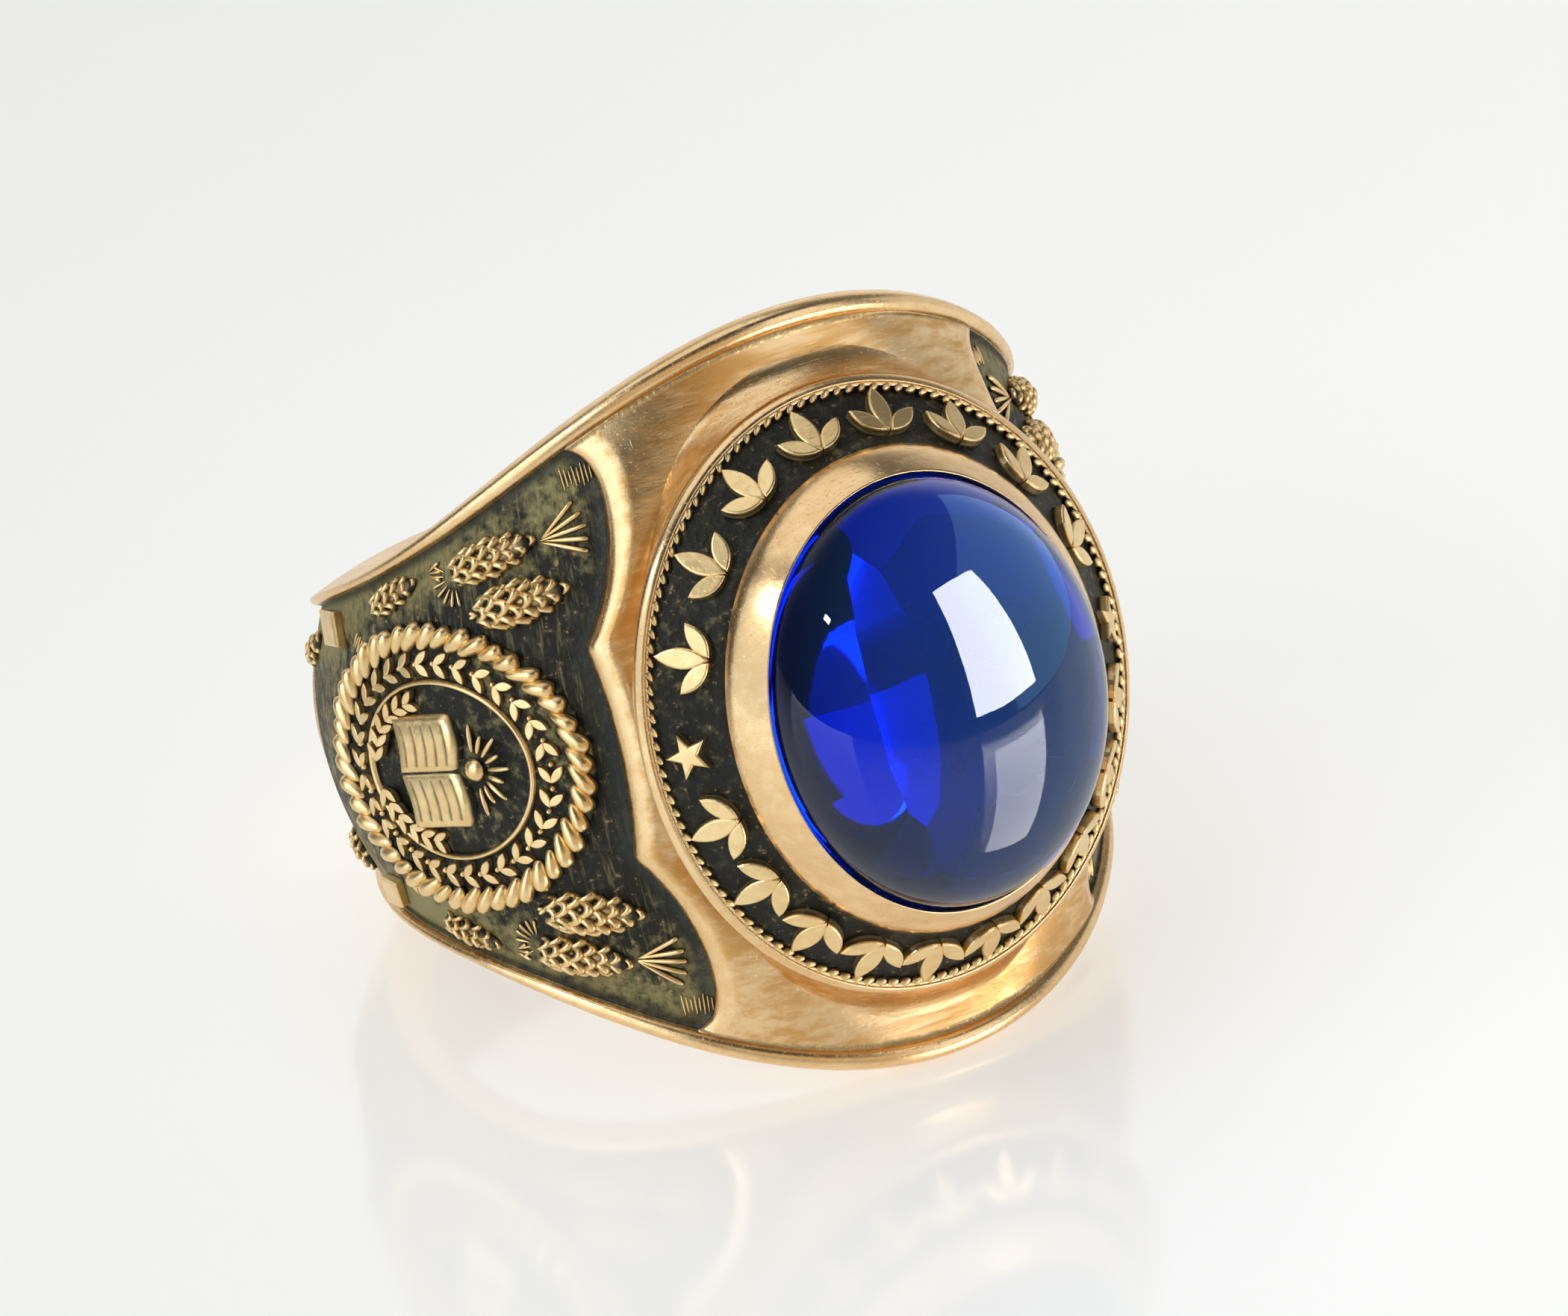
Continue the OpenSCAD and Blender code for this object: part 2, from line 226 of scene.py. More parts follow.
def panelPoint(side, a, z, up=0.0):
    r = groundRadius(a, shareAt(a, z)) + up
    return np.stack([side * r * sind(a), -r * cosd(a), z + 0 * r], -1)


def panelAxes(side, a, z):
    # towards the stone, along the finger, and out of the panel
    step = 0.05
    stone = unit(panelPoint(side, a - step, z) - panelPoint(side, a + step, z))
    finger = unit(panelPoint(side, a, z + step) - panelPoint(side, a, z - step))
    out = unit(np.cross(stone, finger))
    if out @ np.array([side * sind(a), -cosd(a), 0]) < 0:
        out = -out
    return stone, finger, out


# shader expressions
class Wire:
    # one socket in a tree, with arithmetic that adds Math nodes
    def __init__(self, maker, socket):
        self.maker, self.socket = maker, socket

    def calc(self, operation, *values):
        return self.maker.node("ShaderNodeMath", {"operation": operation}, *values)

    def __add__(self, other):
        return self.calc("ADD", self, other)

    def __radd__(self, other):
        return self.calc("ADD", other, self)

    def __sub__(self, other):
        return self.calc("SUBTRACT", self, other)

    def __rsub__(self, other):
        return self.calc("SUBTRACT", other, self)

    def __mul__(self, other):
        return self.calc("MULTIPLY", self, other)

    def __rmul__(self, other):
        return self.calc("MULTIPLY", other, self)

    def clamp(self, low=0.0, high=1.0):
        return self.calc("MINIMUM", self.calc("MAXIMUM", self, low), high)

    def band(self, low, high):
        # 0 below low, 1 above high, smooth between
        return self.maker.node(
            "ShaderNodeMapRange", {"interpolation_type": "SMOOTHSTEP"},
            Value=self, **{"From Min": low, "From Max": high})


class MaterialMaker:
    # fills an empty tree: a new material's, or the one that is given
    def __init__(self, name="", tree=None):
        self.material = None
        if tree is None:
            self.material = bpy.data.materials.new(name)
            self.material.use_nodes = True
            tree = self.material.node_tree
        self.tree = tree
        self.tree.nodes.clear()

    def node(self, kind, settings=None, *values, out=0, **links):
        # settings come first, then values or links of sockets by their order or name
        made = self.tree.nodes.new(kind)
        for key, value in (settings or {}).items():
            setattr(made, key, value)
        for index, value in [*enumerate(values), *links.items()]:
            if isinstance(value, Wire):
                self.tree.links.new(value.socket, made.inputs[index])
            elif value is not None:
                made.inputs[index].default_value = value
        return Wire(self, made.outputs[out]) if made.outputs else None

    def mark(self, name):
        return self.node("ShaderNodeAttribute", {"attribute_name": name}, out="Fac")

    def place(self, scale=(1, 1, 1)):
        here = self.node("ShaderNodeTexCoord", out="Object")
        return self.node("ShaderNodeMapping", None, Vector=here, Scale=scale)

    def surface(self, scale=(1, 1, 1)):
        here = self.node("ShaderNodeUVMap", {"uv_map": "surface"})
        return self.node("ShaderNodeMapping", None, Vector=here, Scale=scale)

    def noise(self, where, scale, detail=3.0, rough=0.5):
        return self.node(
            "ShaderNodeTexNoise", None, Vector=where, Scale=scale, Detail=detail, Roughness=rough)

    def bump(self, height, strength, distance):
        return self.node("ShaderNodeBump", None, Height=height, Strength=strength, Distance=distance)

    def blend(self, factor, first, second):
        # the colour sockets of a Mix node are its seventh and eighth
        first, second = ((*c, 1) if isinstance(c, tuple) else c for c in (first, second))
        return self.node("ShaderNodeMix", {"data_type": "RGBA"}, factor, *[None] * 5, first, second, out=2)

    def principled(self, **inputs):
        named = {name.replace("_", " "): value for name, value in inputs.items()}
        return self.node("ShaderNodeBsdfPrincipled", None, out="BSDF", **named)

    def finish(self, shader, volume=None, kind="ShaderNodeOutputMaterial"):
        self.node(kind, None, Surface=shader, Volume=volume)
        return self.material


goldLook = dict(
    polished=(0.88, 0.63, 0.34), paleLitGold=(0.92, 0.7, 0.36), warm=(0.7, 0.4, 0.145), blackOxideShade=(0.012, 0.012, 0.008),
    olive=(0.34, 0.29, 0.12), grey=(0.085, 0.085, 0.052), slate=(0.026, 0.031, 0.026))


def makeGold(name, roughness, hatch=0.0, clean="polished"):
    m = MaterialMaker(name)
    here = m.place()
    soft = m.noise(here, 260.0)
    fine = m.noise(here, 2600.0, 4.0, 0.6)
    speck = m.noise(here, 5200.0, 2.0, 0.7)
    brushed = m.noise(m.place((0.5, 6.0, 6.0)), 420.0, 4.0, 0.65)
    # hollows hold a dark and olive patina, and the metal between the panels is worn
    marked = m.mark("oxideAndShade")
    # painted shade: the same mark also darkens creases, the feet of beads and leaves and the roots of the
    # cone scales
    oxideShadeMask = (marked + (fine - 0.5) * 0.5 * marked).clamp().band(0.25, 0.7)
    tarnish = (m.mark("tarnish") + (soft - 0.5) * 1.2 + (fine - 0.5) * 1.5).band(0.3, 0.85)
    worn = m.mark("tarnish") * (1 - oxideShadeMask)
    warmth = (brushed * 0.6 + soft * 0.4).band(0.4, 0.58) * (0.35 + worn * 0.65)
    metal = m.blend(warmth, goldLook[clean], goldLook["warm"])
    oxideShadeColour = m.blend(fine.band(0.45, 0.75) * 0.6, goldLook["blackOxideShade"], goldLook["grey"])
    oxideShadeColour = m.blend(tarnish * 0.8, oxideShadeColour, goldLook["olive"])
    oxideShadeColour = m.blend(speck.band(0.62, 0.74) * oxideShadeMask * 0.45, oxideShadeColour, goldLook["warm"])
    if hatch:
        lines = m.noise(m.surface((1.0, 0.12, 1.0)), hatch, 3.0, 0.6)
        oxideShadeColour = m.blend(lines.band(0.52, 0.66) * 0.3, oxideShadeColour, goldLook["olive"])
        # towards the panel's walls the ground darkens to slate
        oxideShadeColour = m.blend(m.mark("wall") * 0.75, oxideShadeColour, goldLook["slate"])
    # long fine scratches in two directions
    alongBand = m.noise(m.place((0.7, 14.0, 14.0)), 1400.0, 3.0, 0.65)
    acrossBand = m.noise(m.place((12.0, 0.8, 5.0)), 1200.0, 3.0, 0.65)
    scratch = (alongBand.band(0.6, 0.78) + acrossBand.band(0.64, 0.8)).clamp() * (1 - oxideShadeMask)
    rough = roughness + scratch * 0.08 + (brushed - 0.5) * (0.1 + worn * 0.3)
    rough = rough + (fine - 0.5) * 0.14 + worn * 0.07 + oxideShadeMask * 0.3
    height = (fine - 0.5) * (0.2 + oxideShadeMask * 0.9) + scratch * -0.14 + (speck - 0.5) * oxideShadeMask * 0.5
    height = height + (brushed - 0.5) * (0.04 + worn * 0.3)
    if hatch:
        height = height + lines.band(0.35, 0.65) * oxideShadeMask * (1 - m.mark("wall")) * 0.9
    return m.finish(m.principled(
        Base_Color=m.blend(oxideShadeMask, metal, oxideShadeColour), Roughness=rough.clamp(0.05, 0.95), Metallic=1 - oxideShadeMask * 0.6,
        Normal=m.bump(height, 0.35, 0.00012)))


polishedGold = makeGold("polishedGold", 0.22)
panelGold = makeGold("panelGold", 0.26, hatch=6.0)
# the relief's gold is painted paler than the band's, so the raised work reads as lit
reliefGold = makeGold("reliefGold", 0.31, clean="paleLitGold")

# gloss is the strength of the stone's reflections
stoneLook = dict(
    colour=(0.13, 0.42, 0.8), absorb=(0.05, 0.37, 0.87), density=600.0, ior=1.72, clear=0.978, gloss=0.45)
foilLook = dict(pale=(0.5, 0.58, 0.7), deep=(0.42, 0.5, 0.66))


def makeStone():
    m = MaterialMaker("blueStone")
    haze = m.noise(m.place(), 900.0)
    shader = m.principled(
        Base_Color=(*stoneLook["colour"], 1), Roughness=0.01 + (haze - 0.3).clamp() * 0.02,
        IOR=stoneLook["ior"], Specular_Tint=(*[stoneLook["gloss"]] * 3, 1),
        Transmission_Weight=stoneLook["clear"], Normal=m.bump(haze, 0.02, 0.0001))
    volume = m.node(
        "ShaderNodeVolumeAbsorption", None, Color=(*stoneLook["absorb"], 1), Density=stoneLook["density"])
    return m.finish(shader, volume)


def makeFoil():
    # the bright lining behind the stone
    m = MaterialMaker("cupFoil")
    wrinkle = m.noise(m.place(), 700.0)
    return m.finish(m.principled(
        Base_Color=m.blend(wrinkle.band(0.3, 0.7), foilLook["pale"], foilLook["deep"]),
        Roughness=0.22 + wrinkle * 0.1, Metallic=1.0, Normal=m.bump(wrinkle, 0.06, 0.0002)))


blueStone = makeStone()
cupFoil = makeFoil()
print("materials made")


# geometry nodes
def settingOutTree():
    # sets a copy on every vertex of a plan, turned and sized by the plan's own attributes
    tree = bpy.data.node_groups.new("settingOut", "GeometryNodeTree")
    face = tree.interface
    for label, kind in (
            ("Geometry", "Geometry"), ("Copy", "Object"), ("Finish", "Material"), ("Size", "Float"),
            ("Wobble", "Float"), ("Seed", "Int")):
        face.new_socket(label, in_out="INPUT", socket_type="NodeSocket" + kind)
    face.new_socket("Geometry", in_out="OUTPUT", socket_type="NodeSocketGeometry")
    new, join = tree.nodes.new, tree.links.new
    given, result = new("NodeGroupInput"), new("NodeGroupOutput")
    copy = new("GeometryNodeObjectInfo")
    copy.inputs["As Instance"].default_value = True
    turn, size = new("GeometryNodeInputNamedAttribute"), new("GeometryNodeInputNamedAttribute")
    for reader, label in ((turn, "turn"), (size, "size")):
        reader.data_type = "FLOAT_VECTOR"
        reader.inputs["Name"].default_value = label
    shake = new("FunctionNodeRandomValue")
    shake.data_type = "FLOAT_VECTOR"
    join(given.outputs["Seed"], shake.inputs["Seed"])
    for sign, end in ((-1.0, "Min"), (1.0, "Max")):
        scaler = new("ShaderNodeVectorMath")
        scaler.operation = "SCALE"
        scaler.inputs[0].default_value = (sign, sign, sign)
        join(given.outputs["Wobble"], scaler.inputs["Scale"])
        join(scaler.outputs[0], shake.inputs[end])
    total, grow = new("ShaderNodeVectorMath"), new("ShaderNodeVectorMath")
    total.operation, grow.operation = "ADD", "SCALE"
    join(turn.outputs["Attribute"], total.inputs[0])
    join(shake.outputs["Value"], total.inputs[1])
    join(size.outputs["Attribute"], grow.inputs[0])
    join(given.outputs["Size"], grow.inputs["Scale"])
    toRotation, onPoints = new("FunctionNodeEulerToRotation"), new("GeometryNodeInstanceOnPoints")
    realize, finish = new("GeometryNodeRealizeInstances"), new("GeometryNodeSetMaterial")
    join(total.outputs[0], toRotation.inputs[0])
    join(given.outputs["Copy"], copy.inputs["Object"])
    join(given.outputs["Geometry"], onPoints.inputs["Points"])
    join(copy.outputs["Geometry"], onPoints.inputs["Instance"])
    join(toRotation.outputs[0], onPoints.inputs["Rotation"])
    join(grow.outputs[0], onPoints.inputs["Scale"])
    join(onPoints.outputs[0], realize.inputs[0])
    join(realize.outputs[0], finish.inputs["Geometry"])
    join(given.outputs["Finish"], finish.inputs["Material"])
    join(finish.outputs[0], result.inputs[0])
    return tree


settingOut = settingOutTree()


def takeMesh(holder, name):
    # the evaluated object's plain mesh; the holder goes, with its modifier
    graph = bpy.context.evaluated_depsgraph_get()
    mesh = bpy.data.meshes.new_from_object(holder.evaluated_get(graph), depsgraph=graph)
    mesh.name = name
    bpy.data.objects.remove(holder, do_unlink=True)
    return mesh


def setOut(name, plan, copy, material, wobble=0.0, seed=1):
    # plan: rows of (place, along, out, (sx, sy, sz)) in mm; the copy's y goes along and its z out
    places = toRow([row[0] for row in plan])
    along, out = (turnRow([row[i] for row in plan]) for i in (1, 2))
    turns = []
    for y, z in zip(along, out):
        y = Vector(y).normalized()
        x = y.cross(Vector(z)).normalized()
        turns.append(tuple(Matrix((x, y, x.cross(y).normalized())).transposed().to_euler()))
    mesh = bpy.data.meshes.new(name + "Plan")
    mesh.from_pydata([tuple(p) for p in places], [], [])
    addMarks(mesh, "FLOAT_VECTOR", "vector", {"turn": turns, "size": [tuple(row[3]) for row in plan]})
    holder = link(bpy.data.objects.new(name, mesh))
    modifier = holder.modifiers.new("settingOut", "NODES")
    modifier.node_group = settingOut
    ids = {item.name: item.identifier for item in settingOut.interface.items_tree if item.in_out == "INPUT"}
    inputs = {"Copy": copy, "Finish": material, "Size": 1.0, "Wobble": wobble, "Seed": seed}
    for label, value in inputs.items():
        modifier[ids[label]] = value
    return link(bpy.data.objects.new(name, takeMesh(holder, name)))


def joinInto(name, parts):
    # several meshes become one piece, its attributes kept
    with bpy.context.temp_override(active_object=parts[0], selected_editable_objects=parts, object=parts[0]):
        bpy.ops.object.join()
    parts[0].name = parts[0].data.name = name
    return parts[0]


def dropCopies(*copies):
    for copy in copies:
        bpy.data.objects.remove(copy, do_unlink=True)


# small shapes, in mm at the origin
def softBlob(name, length, width, height, rows=8, cols=12, pointed=1.0, swell=0.0, dark=2.6):
    # a bead stretched along y, its lower part flatter, sunk and painted dark as shade; swell fattens its far
    # end
    sunk = 0.4
    points = []
    for i in range(1, rows):
        t = math.pi * i / rows
        for j in range(cols):
            a = 2 * math.pi * j / cols
            ring = math.sin(t) ** pointed * (1 - swell * math.cos(t))
            z = math.cos(a) * ring * height
            x, y = math.sin(a) * ring * width / 2, -math.cos(t) * length / 2
            points.append((x, y, z if z > 0 else z * sunk))
    tip = len(points)
    points += [(0, -length / 2, 0), (0, length / 2, 0)]
    faces = [list(f) for f in gridFaces(rows - 1, cols, flip=True)]
    faces += [[tip, j, (j + 1) % cols] for j in range(cols)]
    last = (rows - 2) * cols
    faces += [[tip + 1, last + (j + 1) % cols, last + j] for j in range(cols)]
    points = np.array(points)
    # painted shade: darker towards the bead's foot, less high the larger dark is
    oxideAndShade = np.clip(1 - (points[:, 2] / height) * dark, 0, 1)
    return buildMesh(name, points / 1000, faces, marks={"oxideAndShade": oxideAndShade, "tarnish": oxideAndShade * 0})


def closeUnder(obj, drop):
    # gives an open relief its walls and underside; drop is in metres
    with opened(obj.data) as data:
        made = bmesh.ops.extrude_edge_only(data, edges=[e for e in data.edges if e.is_boundary])
        for vertex in [v for v in made["geom"] if isinstance(v, bmesh.types.BMVert)]:
            vertex.co += Vector(drop)
        bmesh.ops.holes_fill(data, edges=[e for e in data.edges if e.is_boundary], sides=0)
    return obj


def outlineRelief(name, outline, height, sunk, bevel):
    # a flat shape raised with bevelled edges: its outline in mm, in x and y
    curve = bpy.data.curves.new(name, "CURVE")
    curve.dimensions, curve.fill_mode = "2D", "BOTH"
    curve.extrude, curve.bevel_depth, curve.offset = (height + sunk) / 2 - bevel, bevel, -bevel
    curve.bevel_resolution = 2
    spline = curve.splines.new("POLY")
    spline.points.add(len(outline) - 1)
    for point, (x, y) in zip(spline.points, outline):
        point.co = (x, y, 0, 1)
    spline.use_cyclic_u = True
    mesh = takeMesh(link(bpy.data.objects.new(name, curve)), name)
    with opened(mesh) as data:
        bmesh.ops.remove_doubles(data, verts=data.verts, dist=0.0005)
        for vertex in data.verts:
            vertex.co.z += (height - sunk) / 2
    spots = np.empty(len(mesh.vertices) * 3, np.float32)
    mesh.vertices.foreach_get("co", spots)
    # painted shade: the relief darkens towards its foot
    oxideAndShade = np.clip(1 - (spots[2::3] / height) * 1.5, 0, 1)
    mesh.vertices.foreach_set("co", spots / 1000)
    addMarks(mesh, "FLOAT", "value", {"oxideAndShade": oxideAndShade, "tarnish": oxideAndShade * 0})
    mesh.shade_flat()
    return link(bpy.data.objects.new(name, mesh))


def leafOutline(length, width, base=(0.0, 0.0), turn=0.0, steps=9):
    # a pointed leaf from its base, turned from +y in degrees
    side = [(width / 2 * math.sin(math.pi * t) ** 0.8, length * t) for t in np.linspace(0, 1, steps)]
    outline = side + [(-x, y) for x, y in reversed(side[1:-1])]
    c, s = math.cos(math.radians(turn)), math.sin(math.radians(turn))
    return [(base[0] + x * c + y * s, base[1] - x * s + y * c) for x, y in outline]


# band
bandDetail = dict(headStations=54, panelStations=120, backStations=44, rows=110, boreRows=14)
# mm before and after a panel's edge and its end, where the surface turns most
edgeSteps = [
    -0.95, -0.82, -0.7, -0.6, -0.5, -0.4, -0.3, -0.21, -0.12, -0.04, 0.03, 0.09, 0.15, 0.2, 0.24, 0.275,
    0.305, 0.33, 0.345, 0.37, 0.44, 0.55, 0.7, 0.9]
endSteps = [-0.9, -0.75, -0.6, -0.5, -0.42, -0.34, -0.26, -0.18, -0.1, -0.02, 0.08, 0.2, 0.35, 0.55]
# rim profile: inset from the band's edge in mm, height as a share of the wall
rimProfile = [
    (0.52, 0.0), (0.36, 0.03), (0.23, 0.09), (0.13, 0.18), (0.055, 0.3), (0.012, 0.43), (0, 0.54),
    (0.016, 0.65), (0.055, 0.77), (0.11, 0.875), (0.18, 0.955), (0.27, 0.99), (0.36, 1.0), (0.45, 0.995),
    (0.53, 0.97), (0.59, 0.93), (0.63, 0.88), (0.66, 0.82)]


def bandAngles(w):
    # the angles of every station round half the band, for one share of the width
    edge = frameAngle(w) + np.array(edgeSteps) * degreesPerMm
    end = endAngle(w) + np.array(endSteps) * degreesPerMm
    return np.concatenate([
        np.linspace(0, edge[0], bandDetail["headStations"])[:-1], edge,
        np.linspace(edge[-1], end[0], bandDetail["panelStations"])[1:-1], end,
        np.linspace(end[-1], 180, bandDetail["backStations"])[1:]])


def bandRadius(a, w):
    # the surface between the rims: head, beaded frame, sunk panel and plain back; u and v are the
    # mm past the panel's edge and its end
    edge = frameAngle(w)
    u, v = (a - edge) / degreesPerMm, (a - endAngle(w)) / degreesPerMm
    low = band["bore"] + band["rimWall"] - band["valley"]
    crestAt = edge - band["lip"] * degreesPerMm
    head = mix(low, crestRadius(w), np.clip(a / crestAt, 0, 1) ** band["headTurn"])
    groove = 0.05 * np.exp(-((u - 0.6) / 0.18) ** 2) + 0.05 * np.exp(-((v + 0.55) / 0.15) ** 2)
    ground = groundRadius(a, w) - groove
    plain = band["bore"] + rimWall(a) + band["crown"] * band["backCrown"] * (1 - w * w)
    back = mix(groundRadius(a, w) + band["bevelHeight"], plain, ease(v / 8))
    fall = np.clip((u + band["lip"]) / (band["lip"] + band["bevelWidth"] - 0.1), 0, 1)
    r = mix(head, ground, 1 - np.sqrt(1 - fall ** band["lipTurn"]))
    return mix(r, back, ease((v + 0.4) / 0.35)), u, v


def makeBand():
    shares = np.sort(np.concatenate([np.linspace(-1, 1, bandDetail["rows"]), [0.994, 0.985, -0.994, -0.985]]))
    edgeAngles = bandAngles(1.0)
    rows = []

    def addRow(a, *values):
        # values: radius, place along the finger, and the marks for patina and painted shade, tarnish and wall
        half = np.stack([a, *(value + 0 * a for value in values)], -1)
        other = half[-2:0:-1] * np.array([-1, 1, 1, 1, 1, 1])
        rows.append(np.vstack([half, other]))

    def addRim(sign, inset, share):
        a = edgeAngles
        z = sign * (halfWidth(a) - inset * rimScale(a))
        # painted shade at the rim's inner foot
        addRow(a, band["bore"] + rimWall(a) * share, z, 0.35 if inset > 0.6 else 0.0, 0.0, 0.0)

    for inset, share in rimProfile:
        addRim(-1, inset, share)
    for w in shares:
        a = bandAngles(w)
        r, u, v = bandRadius(a, w)
        inPanel = ease((u - 0.3) / 0.05) * (1 - ease((v + 0.45) / 0.2))
        wall = inPanel * np.maximum(1 - ease((u - 0.7) / 0.35), ease((abs(w) - 0.95) / 0.03))
        # patina on the sunk ground, and painted shade in the crease along the rims
        oxideAndShade = np.maximum(inPanel, ease((abs(w) - 0.975) / 0.02) * 0.5)
        # the panels tarnish towards their rims and ends, and the head's metal is worn
        tarnish = np.minimum(ease((abs(w) - 0.45) / 0.5) * 0.65 + ease((a - 55) / 50) * 0.42, 0.8) * inPanel
        worn = (1 - ease((u + 0.35) / 0.15)) * (a < 90)
        addRow(a, r, w * panelHalf(a), oxideAndShade, np.maximum(tarnish, worn), wall)
    for inset, share in reversed(rimProfile):
        addRim(1, inset, share)
    for share in np.linspace(1, -1, bandDetail["boreRows"])[1:-1]:
        z = share * (halfWidth(edgeAngles) - rimProfile[0][0] * rimScale(edgeAngles))
        addRow(edgeAngles, band["bore"], z, 0.0, 0.0, 0.0)
    data = np.array(rows)
    a, r, z = data[..., 0], data[..., 1], data[..., 2]
    points = np.stack([r * sind(a), -r * cosd(a), z], -1).reshape(-1, 3)
    uv = np.stack([a * math.pi / 180 * panelRadius, z], -1).reshape(-1, 2)
    marks = {name: data[..., 3 + i].ravel() for i, name in enumerate(("oxideAndShade", "tarnish", "wall"))}
    faces = gridFaces(len(rows), data.shape[1], wrapRows=True)
    return buildMesh("band", toRow(points), faces, panelGold, marks, uv)


bandPiece = makeBand()
print("band made", len(bandPiece.data.polygons))


# head round the stone
head = dict(
    stoneWidth=10, stoneLength=12, girdle=14, dome=3.7, girdleWall=0.35, pavilion=1.9, facets=12,
    collar=0.82, collarFall=1.0, rise=0.2, slope=1.5, slopeFall=1.85, ground=0.28, border=0.38, ledge=0.55,
    skirt=1.0, skirtIn=1.6, skirtTurn=2.2, sideTurn=1.35, skirtRows=18, stations=360)
borderOut = head["collar"] + head["slope"] + head["border"]
borderY = head["girdle"] - head["collarFall"] - head["slopeFall"]
groundOuter = np.array([head["collar"] + head["slope"], borderY + 0.1])
groundInner = np.array([
    head["collar"] + 0.12, head["girdle"] - head["collarFall"] - 0.12 - head["ground"] * 0.6])
slopeOut = unit(groundOuter - groundInner)
slopeNormal = np.array([-slopeOut[1], slopeOut[0]])


def ovalPoint(out, y, a):
    # a point that lies out mm outside the stone's outline, y mm towards the viewer
    return np.stack([
        (head["stoneWidth"] / 2 + out) * cosd(a), -y + 0 * a, (head["stoneLength"] / 2 + out) * sind(a)], -1)


def bandDepth(x, z):
    # how far towards the stone the band's surface lies at x and z
    r = band["bore"] + band["rimWall"] + 0 * x
    for _ in range(4):
        a = np.degrees(np.arcsin(np.clip(np.abs(x) / r, 0, 0.9)))
        r = bandRadius(a, shareAt(a, z))[0]
    return r * cosd(a)


def headPaths():
    # profiles out from the stone's outline and up, each with its marks of patina and painted shade: the
    # border's bead, groove and tooth strip, the sloping ground, the round collar, and the cup behind the
    # stone
    top, floor = head["girdle"] - head["collarFall"], head["girdle"] - head["girdleWall"]
    lipTop, cupFloor = head["girdle"] + head["rise"], floor - head["pavilion"] - 0.35
    border = smoothPath([(borderOut + out, borderY + up) for out, up in (
        (-0.035, -0.05), (0.005, 0.03), (-0.02, 0.13), (-0.09, 0.23), (-0.16, 0.285), (-0.205, 0.29),
        (-0.225, 0.255), (-0.25, 0.27), (-0.31, 0.27), (-0.35, 0.24))]
        + [(groundOuter[0] + 0.01, groundOuter[1] + 0.06)], 3)
    borderMarks = [0.5 if 17 <= i <= 19 else 0.0 for i in range(len(border))]
    borderMarks[0], borderMarks[-2:] = 0.55, [0.8, 0.8]
    ground = [mix(groundOuter, groundInner, t) for t in np.linspace(0, 1, 14)]
    collar = smoothPath([(out, top + up) for out, up in (
        (0.84, -0.06), (0.815, 0.05), (0.775, 0.2), (0.69, 0.4), (0.575, 0.6), (0.45, 0.79), (0.33, 0.96),
        (0.235, 1.09), (0.17, 1.175), (0.125, 1.2), (0.085, 1.16))], 3)
    seat = [
        (0.08, lipTop - 0.12), (0.08, floor - 0.06), (-head["ledge"], floor - 0.18 * head["pavilion"] - 0.15),
        (-1.3, cupFloor), (-3.2, cupFloor)]
    return [
        (border, borderMarks), (ground, [1.0] * len(ground)),
        (collar, [0.7, 0.7] + [0.0] * (len(collar) - 2)), (seat, [1.0] * len(seat))]


def makeHead():
    cols = head["stations"]
    a = np.arange(cols) * 360 / cols
    base = ovalPoint(borderOut, borderY, a)
    halfX, halfZ = head["stoneWidth"] / 2 + borderOut, head["stoneLength"] / 2 + borderOut
    rows, oxideAndShade = [], []
    # the skirt flares most along the finger and dips under the band's surface at its foot
    for s in np.linspace(1, 0, head["skirtRows"]):
        k = (base[:, 2] / halfZ) ** 2
        grow = mix(-head["skirtIn"], head["skirt"], k) * s - 0.05 * (1 - s) ** 4
        x, z = base[:, 0] * (1 + grow / halfX), base[:, 2] * (1 + grow / halfZ)
        depth = bandDepth(x, z) - mix(0.06, 0.015, k)
        climb = (1 - s) ** mix(head["sideTurn"], head["skirtTurn"], k)
        rows.append(np.stack([x, -mix(depth, borderY - 0.06, climb), z], -1))
        # painted shade where the skirt meets the border
        oxideAndShade.append(0.4 if s == 0 else 0.0)
    paths = headPaths()
    for path, marks in paths:
        rows += [ovalPoint(out, y, a) for out, y in path]
        oxideAndShade += marks
    rows = np.array(rows)
    count = len(rows)
    points = np.vstack([rows.reshape(-1, 3), rows[-1].mean(0)])
    last = (count - 1) * cols
    faces = [list(f) for f in gridFaces(count, cols)]
    faces += [[last + j, last + (j + 1) % cols, len(points) - 1] for j in range(cols)]
    marks = np.append(np.repeat(oxideAndShade, cols), 0.0)
    worn = marks * 0.12
    worn[:(head["skirtRows"] - 1) * cols] = 1.0
    piece = buildMesh("head", toRow(points), faces, polishedGold, {"oxideAndShade": marks, "tarnish": worn})
    piece.data.materials.append(cupFoil)
    inCup = np.zeros(len(faces), np.int32)
    inCup[(count - len(paths[-1][0]) + 1) * cols:] = 1
    piece.data.polygons.foreach_set("material_index", inCup)
    return piece


headPiece = makeHead()
print("head made", len(headPiece.data.polygons))


# sprigs, stars and teeth
def slopePlace(a, q, up):
    # q runs from 0 at the collar's foot to 1 at the border; up is mm out of the ground
    out, y = mix(groundInner, groundOuter, q) + slopeNormal * up
    return ovalPoint(out, y, np.float64(a))


def slopeAxes(a):
    around = unit(slopePlace(a + 0.1, 0.5, 0) - slopePlace(a - 0.1, 0.5, 0))
    outward = unit(slopePlace(a, 0.52, 0) - slopePlace(a, 0.48, 0))
    normal = np.cross(around, outward)
    return around, outward, unit(-normal if normal[1] > 0 else normal)


ornaments = dict(
    above=8, below=10, height=0.28, sunk=0.2, bevel=0.07, sprig=1.45, sideLeaf=50, star=1.4, starWaist=0.42)


def slopePlan(turns):
    plan = []
    for a in turns:
        _, outward, normal = slopeAxes(a)
        plan.append((slopePlace(a, 0.5, 0), outward, normal, plainSize))
    return plan


